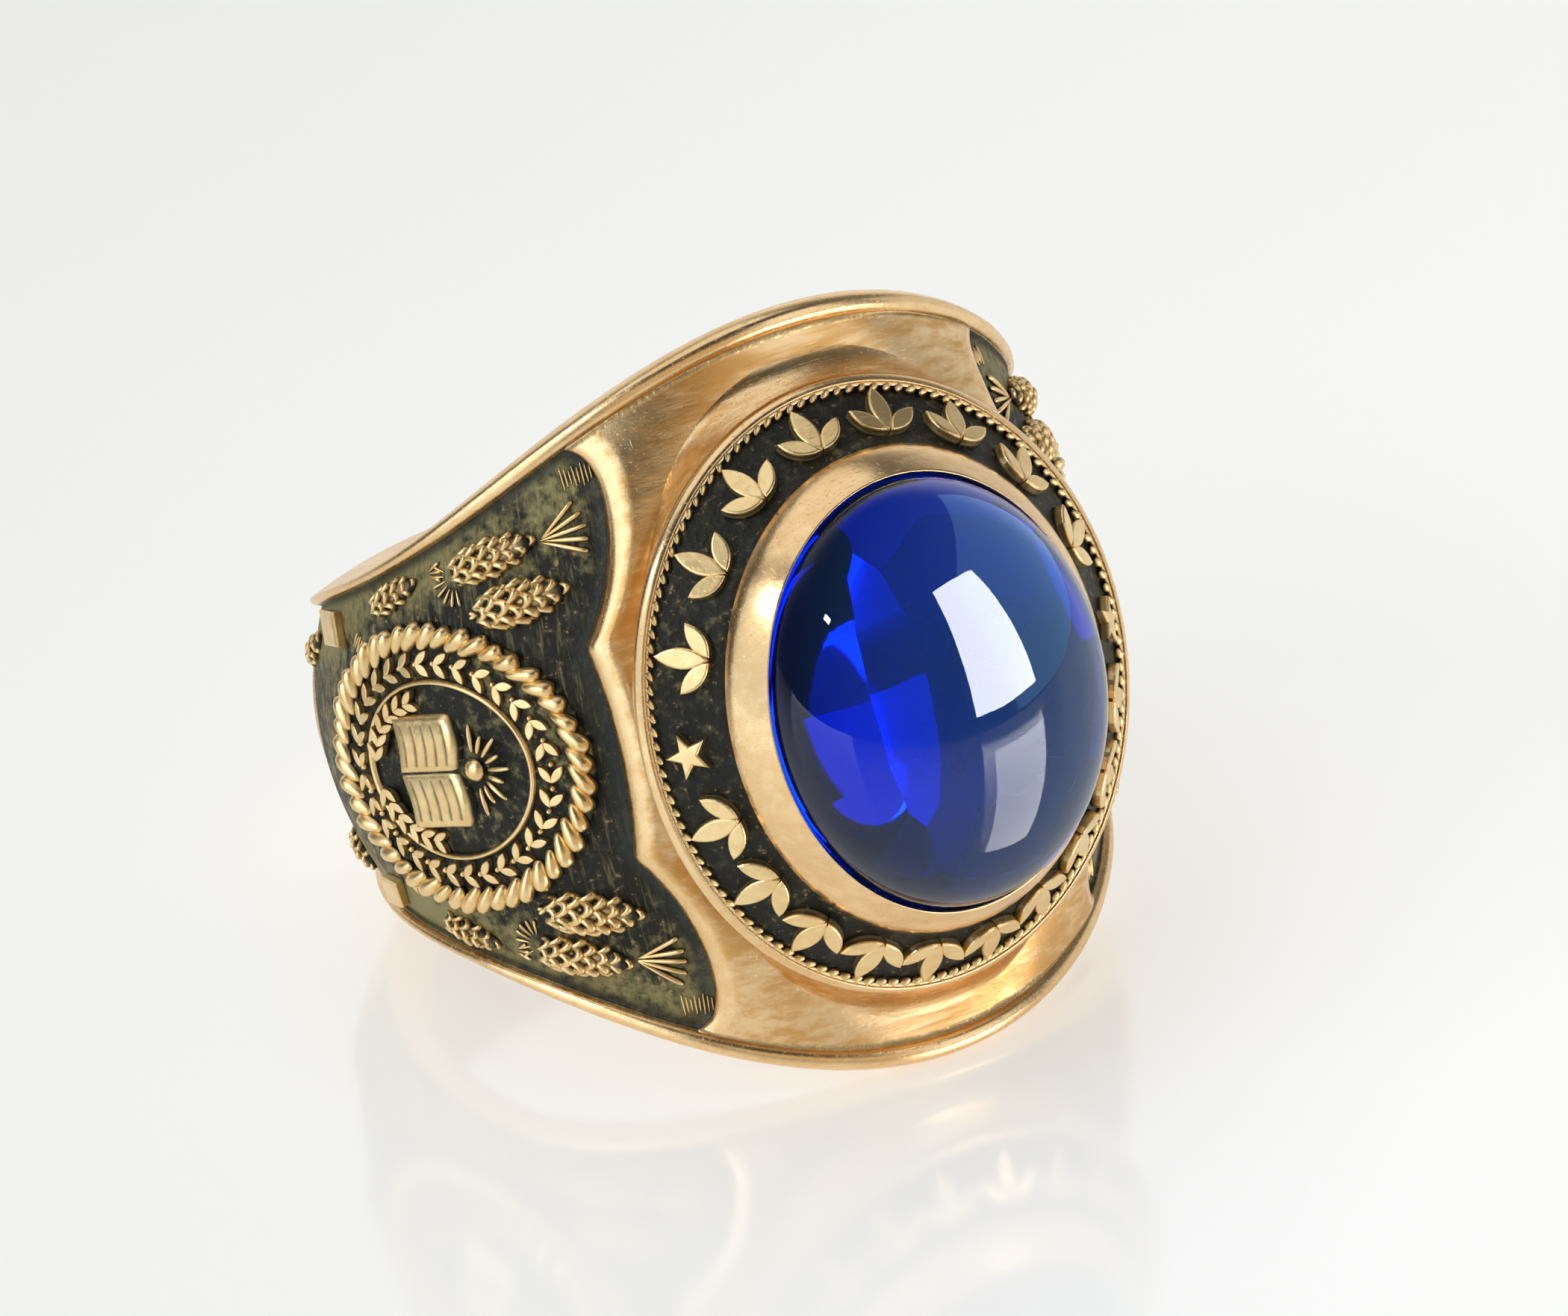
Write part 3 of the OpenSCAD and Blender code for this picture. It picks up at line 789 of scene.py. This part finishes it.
def makeOrnaments():
    size, turn = ornaments["sprig"], ornaments["sideLeaf"]
    low = -size * 0.58
    leaves = [
        leafOutline(size * 1.12, size * 0.42, (0, low)),
        leafOutline(size * 0.84, size * 0.36, (0.05, low), turn),
        leafOutline(size * 0.84, size * 0.36, (-0.05, low), -turn)]
    sunk, bevel = ornaments["sunk"], ornaments["bevel"]
    sprig = joinInto("sprigCopy", [
        outlineRelief(f"leaf{i}", leaf, ornaments["height"] + 0.006 * i, sunk, bevel)
        for i, leaf in enumerate(leaves)])
    spokes = [
        (ornaments["star"] / 2 * (1 if i % 2 == 0 else ornaments["starWaist"]), math.radians(36 * i))
        for i in range(10)]
    star = outlineRelief(
        "starCopy", [(r * math.sin(t), r * math.cos(t)) for r, t in spokes], ornaments["height"], sunk, bevel)
    turns = [
        start + 180 * i / (count + 1) for count, start in ((ornaments["above"], 0), (ornaments["below"], 180))
        for i in range(1, count + 1)]
    sprigs = setOut("sprigs", slopePlan(turns), sprig, reliefGold, wobble=0.07, seed=6)
    stars = setOut("stars", slopePlan((0, 180)), star, reliefGold)
    dropCopies(sprig, star)
    return sprigs, stars


sprigPiece, starPiece = makeOrnaments()

teeth = dict(count=128, length=0.4, width=0.3, height=0.13, lean=50, inset=0.36, up=0.2)


def makeTeeth():
    tooth = softBlob(
        "toothCopy", teeth["length"], teeth["width"], teeth["height"], rows=7, cols=8, pointed=0.7,
        swell=-0.3)

    def spotAt(a):
        return ovalPoint(borderOut - teeth["inset"], borderY + teeth["up"], np.float64(a))

    plan = []
    for a in evenTurns(spotAt, teeth["count"], stations=1441):
        around, outward, _ = slopeAxes(a)
        lean = math.radians(teeth["lean"])
        along = -outward * math.cos(lean) + around * math.sin(lean)
        plan.append((spotAt(a), along, np.array([0, -0.8, 0]) - outward * 0.3, plainSize))
    piece = setOut("borderTeeth", plan, tooth, reliefGold, wobble=0.12, seed=4)
    dropCopies(tooth)
    return piece


teethPiece = makeTeeth()
print("ornament band made")


# medallions
medallion = dict(
    at=69.2, length=10.0, width=8.3, ropeHeight=0.45, ropeWidth=0.65, strands=46, lean=44,
    strand=(1.0, 0.5, 0.34), ringAt=0.62, leaves=30, leafLean=38, leafOff=0.17, stations=180)


def medalPlace(turn, share):
    # angle round the finger and place along it; turn runs in degrees round the oval from the
    # stone's side, and share is of its half size
    p, q = medallion["length"] / 2 * share * cosd(turn), medallion["width"] / 2 * share * sind(turn)
    return medallion["at"] - p * degreesPerMm, q


def medalSpot(side, turn, share, up=0.0):
    return panelPoint(side, *medalPlace(turn, share), up)


def medalAxes(side, turn, share):
    around = unit(medalSpot(side, turn + 0.5, share) - medalSpot(side, turn - 0.5, share))
    outward = unit(medalSpot(side, turn, share + 0.01) - medalSpot(side, turn, share - 0.01))
    return around, outward, panelAxes(side, *medalPlace(turn, share))[2]


def makeMedalPlate(side, label, ropeShare):
    cols, h, ring = medallion["stations"], medallion["ropeHeight"], medallion["ringAt"]
    profile = smoothPath([
        (0.02, 0.05 * h), (0.3, 0.05 * h), (ring - 0.05, 0.04 * h), (ring - 0.028, 0.08 * h),
        (ring - 0.012, 0.4 * h), (ring + 0.008, 0.42 * h), (ring + 0.024, 0.1 * h), (ring + 0.05, 0.06 * h),
        (0.74, 0.06 * h), (1 - ropeShare - 0.02, 0.06 * h), (1 - ropeShare * 0.9, 0.2 * h),
        (1 - ropeShare * 0.5, 0.42 * h), (1 - ropeShare * 0.1, 0.2 * h), (1.0, -0.1 * h), (1.0, -0.9 * h)], 4)
    turns = np.arange(cols) * 360 / cols
    rows = np.array([[medalSpot(side, float(t), share, up) for t in turns] for share, up in profile])
    oxideAndShade = [0.0 if abs(share - ring + 0.002) < 0.018 else 1.0 for share, _ in profile]
    points = np.vstack([rows.reshape(-1, 3), medalSpot(side, 0.0, 0.0, 0.05 * h)])
    faces = [list(f) for f in gridFaces(len(rows), cols, flip=side > 0)]
    faces += [[len(points) - 1, (j + 1) % cols, j] for j in range(cols)]
    marks = np.append(np.repeat(oxideAndShade, cols), 1.0)
    plate = buildMesh(
        "medalPlate" + label, toRow(points), faces, reliefGold, {"oxideAndShade": marks, "tarnish": marks * 0.35})
    with opened(plate.data):
        pass  # only turns the faces outwards
    return plate


def makeMedallion(side):
    label = "Left" if side < 0 else "Right"
    ropeShare = 2 * medallion["ropeWidth"] / medallion["width"]
    plate = makeMedalPlate(side, label, ropeShare)
    # rope: one slanting strand after another, each of its own size
    strand = softBlob("strandCopy", *medallion["strand"], rows=9, cols=12, pointed=0.62, swell=0.28)
    mid, lean = 1 - ropeShare * 0.5, math.radians(medallion["lean"])
    plan = []
    for i, t in enumerate(evenTurns(lambda turn: medalSpot(side, turn, mid), medallion["strands"])):
        around, outward, normal = medalAxes(side, t, mid)
        size = (1 + 0.1 * math.sin(i * 2.3), 1 + 0.12 * math.sin(i * 1.7), 1 + 0.12 * math.cos(i * 3.1))
        along = outward * math.sin(lean) - around * math.cos(lean)
        plan.append((medalSpot(side, t, mid, 0.1), along, normal, size))
    rope = setOut("medalRope" + label, plan, strand, reliefGold, wobble=0.11, seed=7)
    # a wreath of small leaves and berries between ring and rope
    leaf = outlineRelief("leafCopy", leafOutline(0.62, 0.26, (0, -0.31)), 0.2, 0.12, 0.035)
    berry = softBlob("berryCopy", 0.2, 0.2, 0.17, rows=6, cols=10)
    lane = (medallion["ringAt"] + 1 - ropeShare) / 2 + 0.01
    plan, berries = [], []
    for t in evenTurns(lambda turn: medalSpot(side, turn, lane), medallion["leaves"], start=0.5):
        around, outward, normal = medalAxes(side, t, lane)
        for hand in (1, -1):
            lean = math.radians(hand * medallion["leafLean"])
            along = around * (-1 if t < 180 else 1) * math.cos(lean) + outward * math.sin(lean)
            spot = medalSpot(side, t, lane, 0.03) + outward * hand * medallion["leafOff"]
            plan.append((spot, along, normal, plainSize))
        berries.append((medalSpot(side, t + 5.2, lane, 0.03), around, normal, plainSize))
    wreath = setOut("wreathLeaves" + label, plan, leaf, reliefGold, wobble=0.06, seed=3)
    dots = setOut("wreathBerries" + label, berries, berry, reliefGold)
    dropCopies(strand, leaf, berry)
    return joinInto("medallion" + label, [plate, rope, wreath, dots, *makeBook(side, label)])


book = dict(
    width=3.4, length=2.4, rise=0.35, swell=0.2, low=0.55, across=33, along=13, line=0.04, rays=9,
    rayLong=0.85, rayShort=0.6, sunAt=1.25, sprays=6, spraySize=2.05, sprayLean=32)


def bookPoint(i, j):
    # place and mark of one point of the two swelling pages, whose lines are every second row;
    # the edges, the spine and the lines are darkened as patina and painted shade
    u, v = i / (book["across"] - 1) * 2 - 1, j / (book["along"] - 1)
    edge = i in (0, book["across"] - 1) or j in (0, book["along"] - 1)
    swell = math.sin(math.pi * min(abs(u) * 1.12, 1)) ** 0.7 if abs(u) * 1.12 < 1 else 0
    line = book["line"] if 0.12 < abs(u) < 0.85 and 1 < j < book["along"] - 2 and j % 2 == 0 else 0.0
    y = (v - 0.5) * book["length"] + book["rise"] * math.sin(math.pi * abs(u)) * 0.9 - book["low"]
    z = 0.14 + swell * book["swell"] - line - (0.3 if edge else 0)
    mark = 1.0 if edge else 0.8 if abs(u) <= 0.05 else 0.55 if line else 0.0
    return (u * book["width"] / 2, y, z), mark


def makeBook(side, label):
    # an open book with rays over it, towards the stone, and a spray of leaves under it
    up, finger, out = panelAxes(side, medallion["at"], 0.0)
    across = finger * side
    centre = panelPoint(side, medallion["at"], 0.0)

    def place(x, y, z=0.0):
        return centre + across * x + up * y + out * z

    grid = [bookPoint(i, j) for j in range(book["along"]) for i in range(book["across"])]
    marks = np.array([mark for _, mark in grid])
    pages = buildMesh(
        "bookPages" + label, toRow([place(*point) for point, _ in grid]),
        gridFaces(book["along"], book["across"], wrapCols=False), reliefGold,
        {"oxideAndShade": marks, "tarnish": marks * 0})
    closeUnder(pages, turnRow([out])[0] * -0.0002)
    ray = softBlob("rayCopy", 1.0, 0.16, 0.14, rows=8, cols=8, pointed=0.7)
    sun = softBlob("sunCopy", 0.7, 0.7, 0.26, rows=8, cols=14)
    plan = []
    for i in range(book["rays"]):
        t = math.radians(mix(-84, 84, i / (book["rays"] - 1)))
        length = book["rayLong"] if i % 2 == 0 else book["rayShort"]
        x, y, reach = math.sin(t), math.cos(t), 0.5 + length / 2
        plan.append((
            place(x * reach, book["sunAt"] + y * reach, 0.02), across * x + up * y, out, (1, length, 1)))
    rays = setOut("bookRays" + label, plan, ray, reliefGold)
    sunny = setOut("bookSun" + label, [(place(0, book["sunAt"], 0.02), up, out, plainSize)], sun, reliefGold)
    spray = outlineRelief("sprayCopy", leafOutline(0.6, 0.24, (0, -0.3)), 0.2, 0.12, 0.035)
    plan = []
    for hand in (-1, 1):
        for i in range(book["sprays"]):
            t = math.radians(mix(12, 74, i / (book["sprays"] - 1)))
            for tilt in (-book["sprayLean"], book["sprayLean"]):
                s, c = math.sin(math.radians(tilt)), math.cos(math.radians(tilt))
                dx = hand * math.cos(t) * c - math.sin(t) * s
                dy = hand * math.cos(t) * s + math.sin(t) * c
                x = hand * book["spraySize"] * math.sin(t) + dx * 0.26
                y = -0.35 - (book["spraySize"] + 0.1) * math.cos(t) + dy * 0.26
                plan.append((place(x, y, -0.012 * x * x - 0.03), across * dx + up * dy, out, plainSize))
    sprays = setOut("bookSprays" + label, plan, spray, reliefGold, wobble=0.05, seed=5)
    dropCopies(ray, sun, spray)
    return pages, rays, sunny, sprays


medalPieces = [makeMedallion(side) for side in (-1, 1)]
print("medallions made", len(medalPieces[0].data.polygons))


# fir cones, needles and blocks
# cones: tip angle, tip share, stem angle, stem share and width, with shares of the panel's half width
coneTable = [
    (45.5, 0.79, 61.0, 0.84, 1.15), (41.5, 0.58, 57.0, 0.63, 1.3), (69.0, 0.90, 80.5, 0.86, 0.85),
    (104.0, 0.80, 113.0, 0.65, 0.8)]
coneLook = dict(width=0.5, length=0.52, lip=0.17, row=0.37)
# a scale's rings from its root to its free edge: reach, height in mm and the mark of painted shade
scaleRings = [
    (0.1, 0.0, 1), (0.36, 0.02, 1), (0.47, 0.06, 0.8), (0.57, 0.12, 0.15), (0.72, 0.165, 0), (0.87, 0.17, 0),
    (0.98, 0.14, 0), (1.04, 0.06, 0.4)]


def atShare(side, a, share):
    return panelPoint(side, a, share * panelHalf(a))


def makeScale():
    # a rounded scale whose free edge stands up as a crescent, its root painted dark as the shade under the
    # scale before it
    turns = np.radians(np.linspace(-86, 86, 9))
    points = [
        (coneLook["width"] / 2 * r * math.sin(t) * 1.05, coneLook["length"] * (r * math.cos(t) - 0.5),
         z / 0.17 * coneLook["lip"] * (0.55 + 0.45 * math.cos(t))) for r, z, _ in scaleRings for t in turns]
    marks = np.repeat([float(mark) for _, _, mark in scaleRings], len(turns))
    faces = gridFaces(len(scaleRings), len(turns), wrapCols=False)
    scale = buildMesh(
        "scaleCopy", np.array(points) / 1000, faces, marks={"oxideAndShade": marks, "tarnish": marks * 0})
    return closeUnder(scale, (0, 0, -0.00012))


def planCone(side, up, tipA, tipS, stemA, stemS, width, scales, cores):
    tip, stem = atShare(side, tipA, up * tipS), atShare(side, stemA, up * stemS)
    mid = atShare(side, (tipA + stemA) / 2, up * (tipS + stemS) / 2)
    length = np.linalg.norm(tip - stem)
    axis = unit(tip - stem)
    normal = panelAxes(side, (tipA + stemA) / 2, mid[2])[2]
    normal = unit(normal - axis * (normal @ axis))
    across = np.cross(axis, normal)
    cores.append((mid - axis * length * 0.03, axis, normal, (width * 0.7, length * 0.9, width * 0.54)))
    count = max(5, round(length / coneLook["row"]))
    for i in range(count):
        # rows of scales from the stem to the tip, in turn three and four across, and one at the tip
        t = (i + 0.45) / count
        spine = atShare(side, mix(stemA, tipA, t), up * mix(stemS, tipS, t))
        fat = math.sin(math.pi * (t * 0.8 + 0.17)) ** 0.8 * (1 - 0.25 * t)
        reach, size = width / 2 * fat, width / 1.25 * (0.55 + 0.5 * fat)
        rolls = ((-80, -28, 28, 80) if i % 2 else (-56, 0, 56)) if t < 0.8 else (-40, 40)
        for roll in rolls if i < count - 1 else (0,):
            c, s = math.cos(math.radians(roll)), math.sin(math.radians(roll))
            out = normal * c + across * s
            spot = spine + across * s * reach * 0.86 + normal * c * reach * 0.68
            scales.append((spot, axis * 0.96 + out * 0.24, out, (size, size, size)))


def makeCones():
    scale = makeScale()
    # painted shade: the core between the scales is darkened, most at its foot
    core = softBlob("coreCopy", 1.0, 1.0, 0.5, rows=12, cols=14, pointed=0.62, dark=0.6)
    scales, cores = [], []
    for side, up in corners:
        for cone in coneTable:
            planCone(side, up, *cone, scales, cores)
    piece = setOut("firCones", scales, scale, reliefGold, wobble=0.08, seed=11)
    body = setOut("coneCores", cores, core, reliefGold)
    dropCopies(scale, core)
    return joinInto("firCones", [body, piece])


conePiece = makeCones()
print("cones made", len(conePiece.data.polygons))


needles = dict(width=0.17, height=0.15, stroke=0.058)
# fans: angle and share of the root, spread from and to in degrees, count, start and end in mm and
# thickness, where 0 points at the stone and 90 along the finger away from the middle
needleFans = [
    (45.5, 0.775, -18, 37, 5, 0.06, 1.55, 0.85), (61.6, 0.83, 158, 282, 7, 0.35, 0.85, 0.5),
    (57.6, 0.63, 165, 195, 2, 0.0, 0.3, 0.8), (67.0, 0.90, -20, 30, 3, 0.1, 0.6, 0.6)]
# bunches of engraver's strokes: angle, share, direction, count, space between and length in mm
strokeBunches = [(37.9, 0.905, 95, 8, 0.13, 0.62), (86.0, 0.7, 60, 5, 0.12, 0.5)]


def needleRow(side, up, a, z, t, rise, size):
    # one row of a plan: t is the direction in radians and rise the height over the ground
    stone, finger, normal = panelAxes(side, a, z)
    return panelPoint(side, a, z, rise), stone * math.cos(t) + finger * math.sin(t) * up, normal, size


def makeNeedles():
    needle = softBlob(
        "needleCopy", 1.0, needles["width"], needles["height"], rows=8, cols=8, pointed=0.55, swell=0.5)
    stroke = softBlob(
        "strokeCopy", 1.0, needles["stroke"], needles["stroke"], rows=5, cols=6, pointed=0.6, dark=6)
    plan, lines = [], []
    for side, up in corners:
        for a, share, low, high, count, start, end, thick in needleFans:
            reach = (start + end) / 2
            for i in range(count):
                t = math.radians(mix(low, high, i / (count - 1)))
                midA = a - reach * math.cos(t) * degreesPerMm
                midZ = up * (share * panelHalf(a) + reach * math.sin(t))
                plan.append(needleRow(side, up, midA, midZ, t, 0.02, (thick, end - start, thick)))
        for a, share, turn, count, space, length in strokeBunches:
            t = math.radians(turn)
            for i in range(count):
                off = (i - (count - 1) / 2) * space
                midA = a + off * math.sin(t) * degreesPerMm
                midZ = up * (share * panelHalf(a) + off * math.cos(t))
                size = (1, length * (0.7 + i * 2 % 5 * 0.12), 1)
                lines.append(needleRow(side, up, midA, midZ, t, 0.0, size))
    fans = setOut("firNeedles", plan, needle, reliefGold, wobble=0.04, seed=2)
    strokes = setOut("strokes", lines, stroke, reliefGold, wobble=0.05, seed=9)
    dropCopies(needle, stroke)
    return joinInto("firNeedles", [fans, strokes])


needlePiece = makeNeedles()

blocks = dict(at=95, share=0.82, lean=25, halfWidth=0.55, halfLength=1.1, height=0.3, sunk=0.25, bevel=0.08)


def makeBlocks():
    x, y = blocks["halfWidth"], blocks["halfLength"]
    block = outlineRelief(
        "blockCopy", [(-x, 0), (0, -y), (x, 0), (0, y)], blocks["height"], blocks["sunk"], blocks["bevel"])
    a, t = blocks["at"], math.radians(-blocks["lean"])
    z = blocks["share"] * panelHalf(a)
    plan = [needleRow(side, up, a, up * z, t, 0.0, plainSize) for side, up in corners]
    piece = setOut("shankBlocks", plan, block, reliefGold)
    dropCopies(block)
    return piece


blockPiece = makeBlocks()


# stone
# the back's three rows: shares of the half width and half length, and of the pavilion's depth
stoneBack = [(0.1, 0.45, 1.0), (0.62, 0.74, 0.62), (0.9, 0.91, 0.18)]


def makeStonePiece():
    cols = 144
    a = np.arange(cols) * 360 / cols
    step = 360 / head["facets"]
    facet = cosd(step / 2) / cosd(a % step - step / 2)
    halfW, halfL, girdle = head["stoneWidth"] / 2, head["stoneLength"] / 2, head["girdle"]
    low = girdle - head["girdleWall"]

    def ring(wide, long, y, shape=1.0):
        return np.stack([halfW * wide * shape * cosd(a), -y + 0 * a, halfL * long * shape * sind(a)], -1)

    rows = [ring(wide, long, low - head["pavilion"] * fall, facet) for wide, long, fall in stoneBack]
    rows.append(ring(0.985, 0.987, low))
    for t in np.radians([0, *np.linspace(3, 87, 44)]):
        rows.append(ring(math.cos(t), math.cos(t), girdle + head["dome"] * math.sin(t)))
    count = len(rows)
    first, last, top = count * cols, count * cols + 1, (count - 1) * cols
    points = np.vstack([
        np.array(rows).reshape(-1, 3), [0, -(low - head["pavilion"]), 0], [0, -(girdle + head["dome"]), 0]])
    faces = [list(f) for f in gridFaces(count, cols)]
    faces += [[first, (j + 1) % cols, j] for j in range(cols)]
    faces += [[last, top + j, top + (j + 1) % cols] for j in range(cols)]
    piece = buildMesh("blueStone", toRow(points), faces, blueStone)
    perFacet = cols // head["facets"]
    with opened(piece.data) as data:
        # the back's facets meet in sharp edges, and the dome is smooth
        for edge in data.edges:
            rows = [v.index // cols if v.index < first else -1 for v in edge.verts]
            if max(rows) > len(stoneBack) or (min(rows) < 0 and max(rows) != 0):
                continue
            border = max(v.index % cols for v in edge.verts if v.index < first) % perFacet == 0
            if rows[0] == rows[1] or border:
                edge.smooth = False
    return piece


stonePiece = makeStonePiece()
print("stone made")

# frame calls
metal = [
    bandPiece, headPiece, sprigPiece, starPiece, teethPiece, *medalPieces, conePiece, needlePiece, blockPiece]
for piece in metal:
    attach(piece, "root")
    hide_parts("ring_body")
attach(stonePiece, "root")
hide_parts("stone")

# floor, light and camera
studio = dict(
    floor=0.8, floorColour=(0.865, 0.865, 0.842), floorPale=(0.885, 0.885, 0.862), floorGloss=0.75,
    dim=0.06, right=0.16, behind=0.86, front=(0.9, 0.94, 1.0), back=(1.0, 1.0, 0.985))


def makeFloor():
    size = studio["floor"]
    m = MaterialMaker("paleTable")
    tone = m.noise(m.place(), 8.0, 2.0)
    finish = m.finish(m.principled(
        Base_Color=m.blend(tone.band(0.3, 0.7), studio["floorColour"], studio["floorPale"]),
        Roughness=0.07 + tone * 0.05, Specular_IOR_Level=studio["floorGloss"]))
    spots = [(-size, -size, 0), (size, -size, 0), (size, size, 0), (-size, size, 0)]
    obj = buildMesh("table", spots, [[0, 1, 2, 3]], finish)
    obj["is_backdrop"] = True
    return obj


table = makeFloor()


def makeWorld():
    # a white backdrop behind the ring, a dark room in front and at the left, a pale one at the right
    world = bpy.data.worlds.new("studio")
    bpy.context.scene.world = world
    world.use_nodes = True
    m = MaterialMaker(tree=world.node_tree)
    way = m.node("ShaderNodeTexCoord", out="Generated")
    across, back, high = (m.node("ShaderNodeSeparateXYZ", None, way, out=i) for i in range(3))
    level = studio["dim"] + across.band(0.1, 0.95) * studio["right"]
    backdrop = back.band(0.1, 0.8) * (1 - high.band(0.4, 0.8)) * across.band(-0.75, 0.0)
    level = level + backdrop * studio["behind"]
    colour = m.blend(back.band(-0.4, 0.6), studio["front"], studio["back"])
    shade = m.node("ShaderNodeBackground", None, Color=colour, Strength=level)
    m.finish(shade, kind="ShaderNodeOutputWorld")


makeWorld()


def addLight(name, spot, facing, width, height, power, lit, colour=(1, 1, 1), shade=None):
    # lit: the objects that this light falls on; shade: those that hold it back, or all
    lamp = bpy.data.lights.new(name, "AREA")
    lamp.shape, lamp.size, lamp.size_y = "RECTANGLE", width, height
    lamp.energy, lamp.color = power, colour
    obj = link(bpy.data.objects.new(name, lamp))
    obj.location = spot
    obj.rotation_euler = Vector([-x for x in facing]).to_track_quat("Z", "Y").to_euler()
    for field, things in (("receiver_collection", lit), ("blocker_collection", shade)):
        if things:
            group = bpy.data.collections.new(name + field[:7].title())
            for thing in things:
                group.objects.link(thing)
            setattr(obj.light_linking, field, group)


# A tall box at the front right lights the stone, the table and the metal, each with its own
# strength, and the stone also sees the box mirrored in the table. Pale screens stand at both
# sides and in front, and one hangs overhead.
boxSpot, boxFacing, boxTint = (0.197, -0.314, 0.215), (-0.25, 0.97, -0.05), (0.93, 0.95, 1.0)
leftSpot, leftFacing, leftTint = (-0.6, -0.06, 0.2), (1, 0.1, -0.3), (0.84, 0.92, 1.0)
sides = [piece for piece in metal if piece != headPiece]
addLight("stoneBox", boxSpot, boxFacing, 0.24, 0.37, 7.2, [stonePiece], boxTint)
addLight(
    "stoneBoxMirrored", (0.214, -0.31, -0.225), (-0.25, 0.97, 0.05), 0.2, 0.36, 1.3, [stonePiece], boxTint,
    [stonePiece])
addLight("tableBox", boxSpot, boxFacing, 0.24, 0.37, 3.1, [table], shade=[table])
addLight("metalBox", boxSpot, boxFacing, 0.24, 0.37, 0.3, metal)
addLight("overheadBox", (-0.1, 0.15, 0.6), (0.1, -0.25, -1), 0.7, 0.5, 1.08, metal + [table])
addLight("rightScreen", (0.6, -0.05, 0.08), (-1, 0.08, 0), 0.55, 0.4, 0.4, metal + [table])
addLight("stoneScreen", (0.5, -0.12, 0.2), (-1, 0.25, -0.25), 1.0, 0.8, 4.2, [stonePiece], (0.36, 0.7, 1.0))
addLight("leftScreen", leftSpot, leftFacing, 0.7, 0.55, 2.2, sides + [table], leftTint)
addLight("headScreen", leftSpot, leftFacing, 0.7, 0.55, 1.3, [headPiece], leftTint)
addLight("frontScreen", (-0.15, -0.55, 0.12), (0.25, 1, -0.2), 0.6, 0.4, 0.5, metal, (1.0, 0.78, 0.5))
addLight("smallLamp", (-0.38, -0.02, 0.31), (0.77, 0.04, -0.63), 0.05, 0.02, 0.3, metal + [stonePiece])

# angles in degrees, the focus in pixels of the photo's width, lengths in mm
view = dict(
    azimuth=-28.109, elevation=26.142, roll=-4.43, focus=9126.294, photoWidth=2100, away=200.0, shiftX=-0.428,
    shiftY=-7.598)


def addCamera():
    a, e, roll = (math.radians(view[key]) for key in ("azimuth", "elevation", "roll"))
    right = Vector((math.cos(a), math.sin(a), 0))
    up = Vector((-math.sin(a) * math.sin(e), math.cos(a) * math.sin(e), math.cos(e)))
    back = Vector((math.sin(a) * math.cos(e), -math.cos(a) * math.cos(e), math.sin(e)))
    right, up = right * math.cos(roll) + up * math.sin(roll), up * math.cos(roll) - right * math.sin(roll)
    spot = (back * view["away"] - right * view["shiftX"] - up * view["shiftY"]) / 1000
    lens = bpy.data.cameras.new("camera")
    lens.sensor_width, lens.sensor_fit = 36.0, "HORIZONTAL"
    lens.lens = view["focus"] / view["photoWidth"] * lens.sensor_width
    lens.clip_start, lens.clip_end = 0.01, 10
    obj = link(bpy.data.objects.new("camera", lens))
    rows = [(*row, place) for row, place in zip(zip(right, up, back), spot)]
    obj.matrix_world = Matrix([*rows, (0, 0, 0, 1)])
    bpy.context.scene.camera = obj


addCamera()
bpy.context.scene.view_settings.view_transform = "Standard"
print("studio made")


def plain(box):
    return [[float(x) for x in corner] for corner in box]


{"cad": plain(cadBox), "visual": plain(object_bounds())}
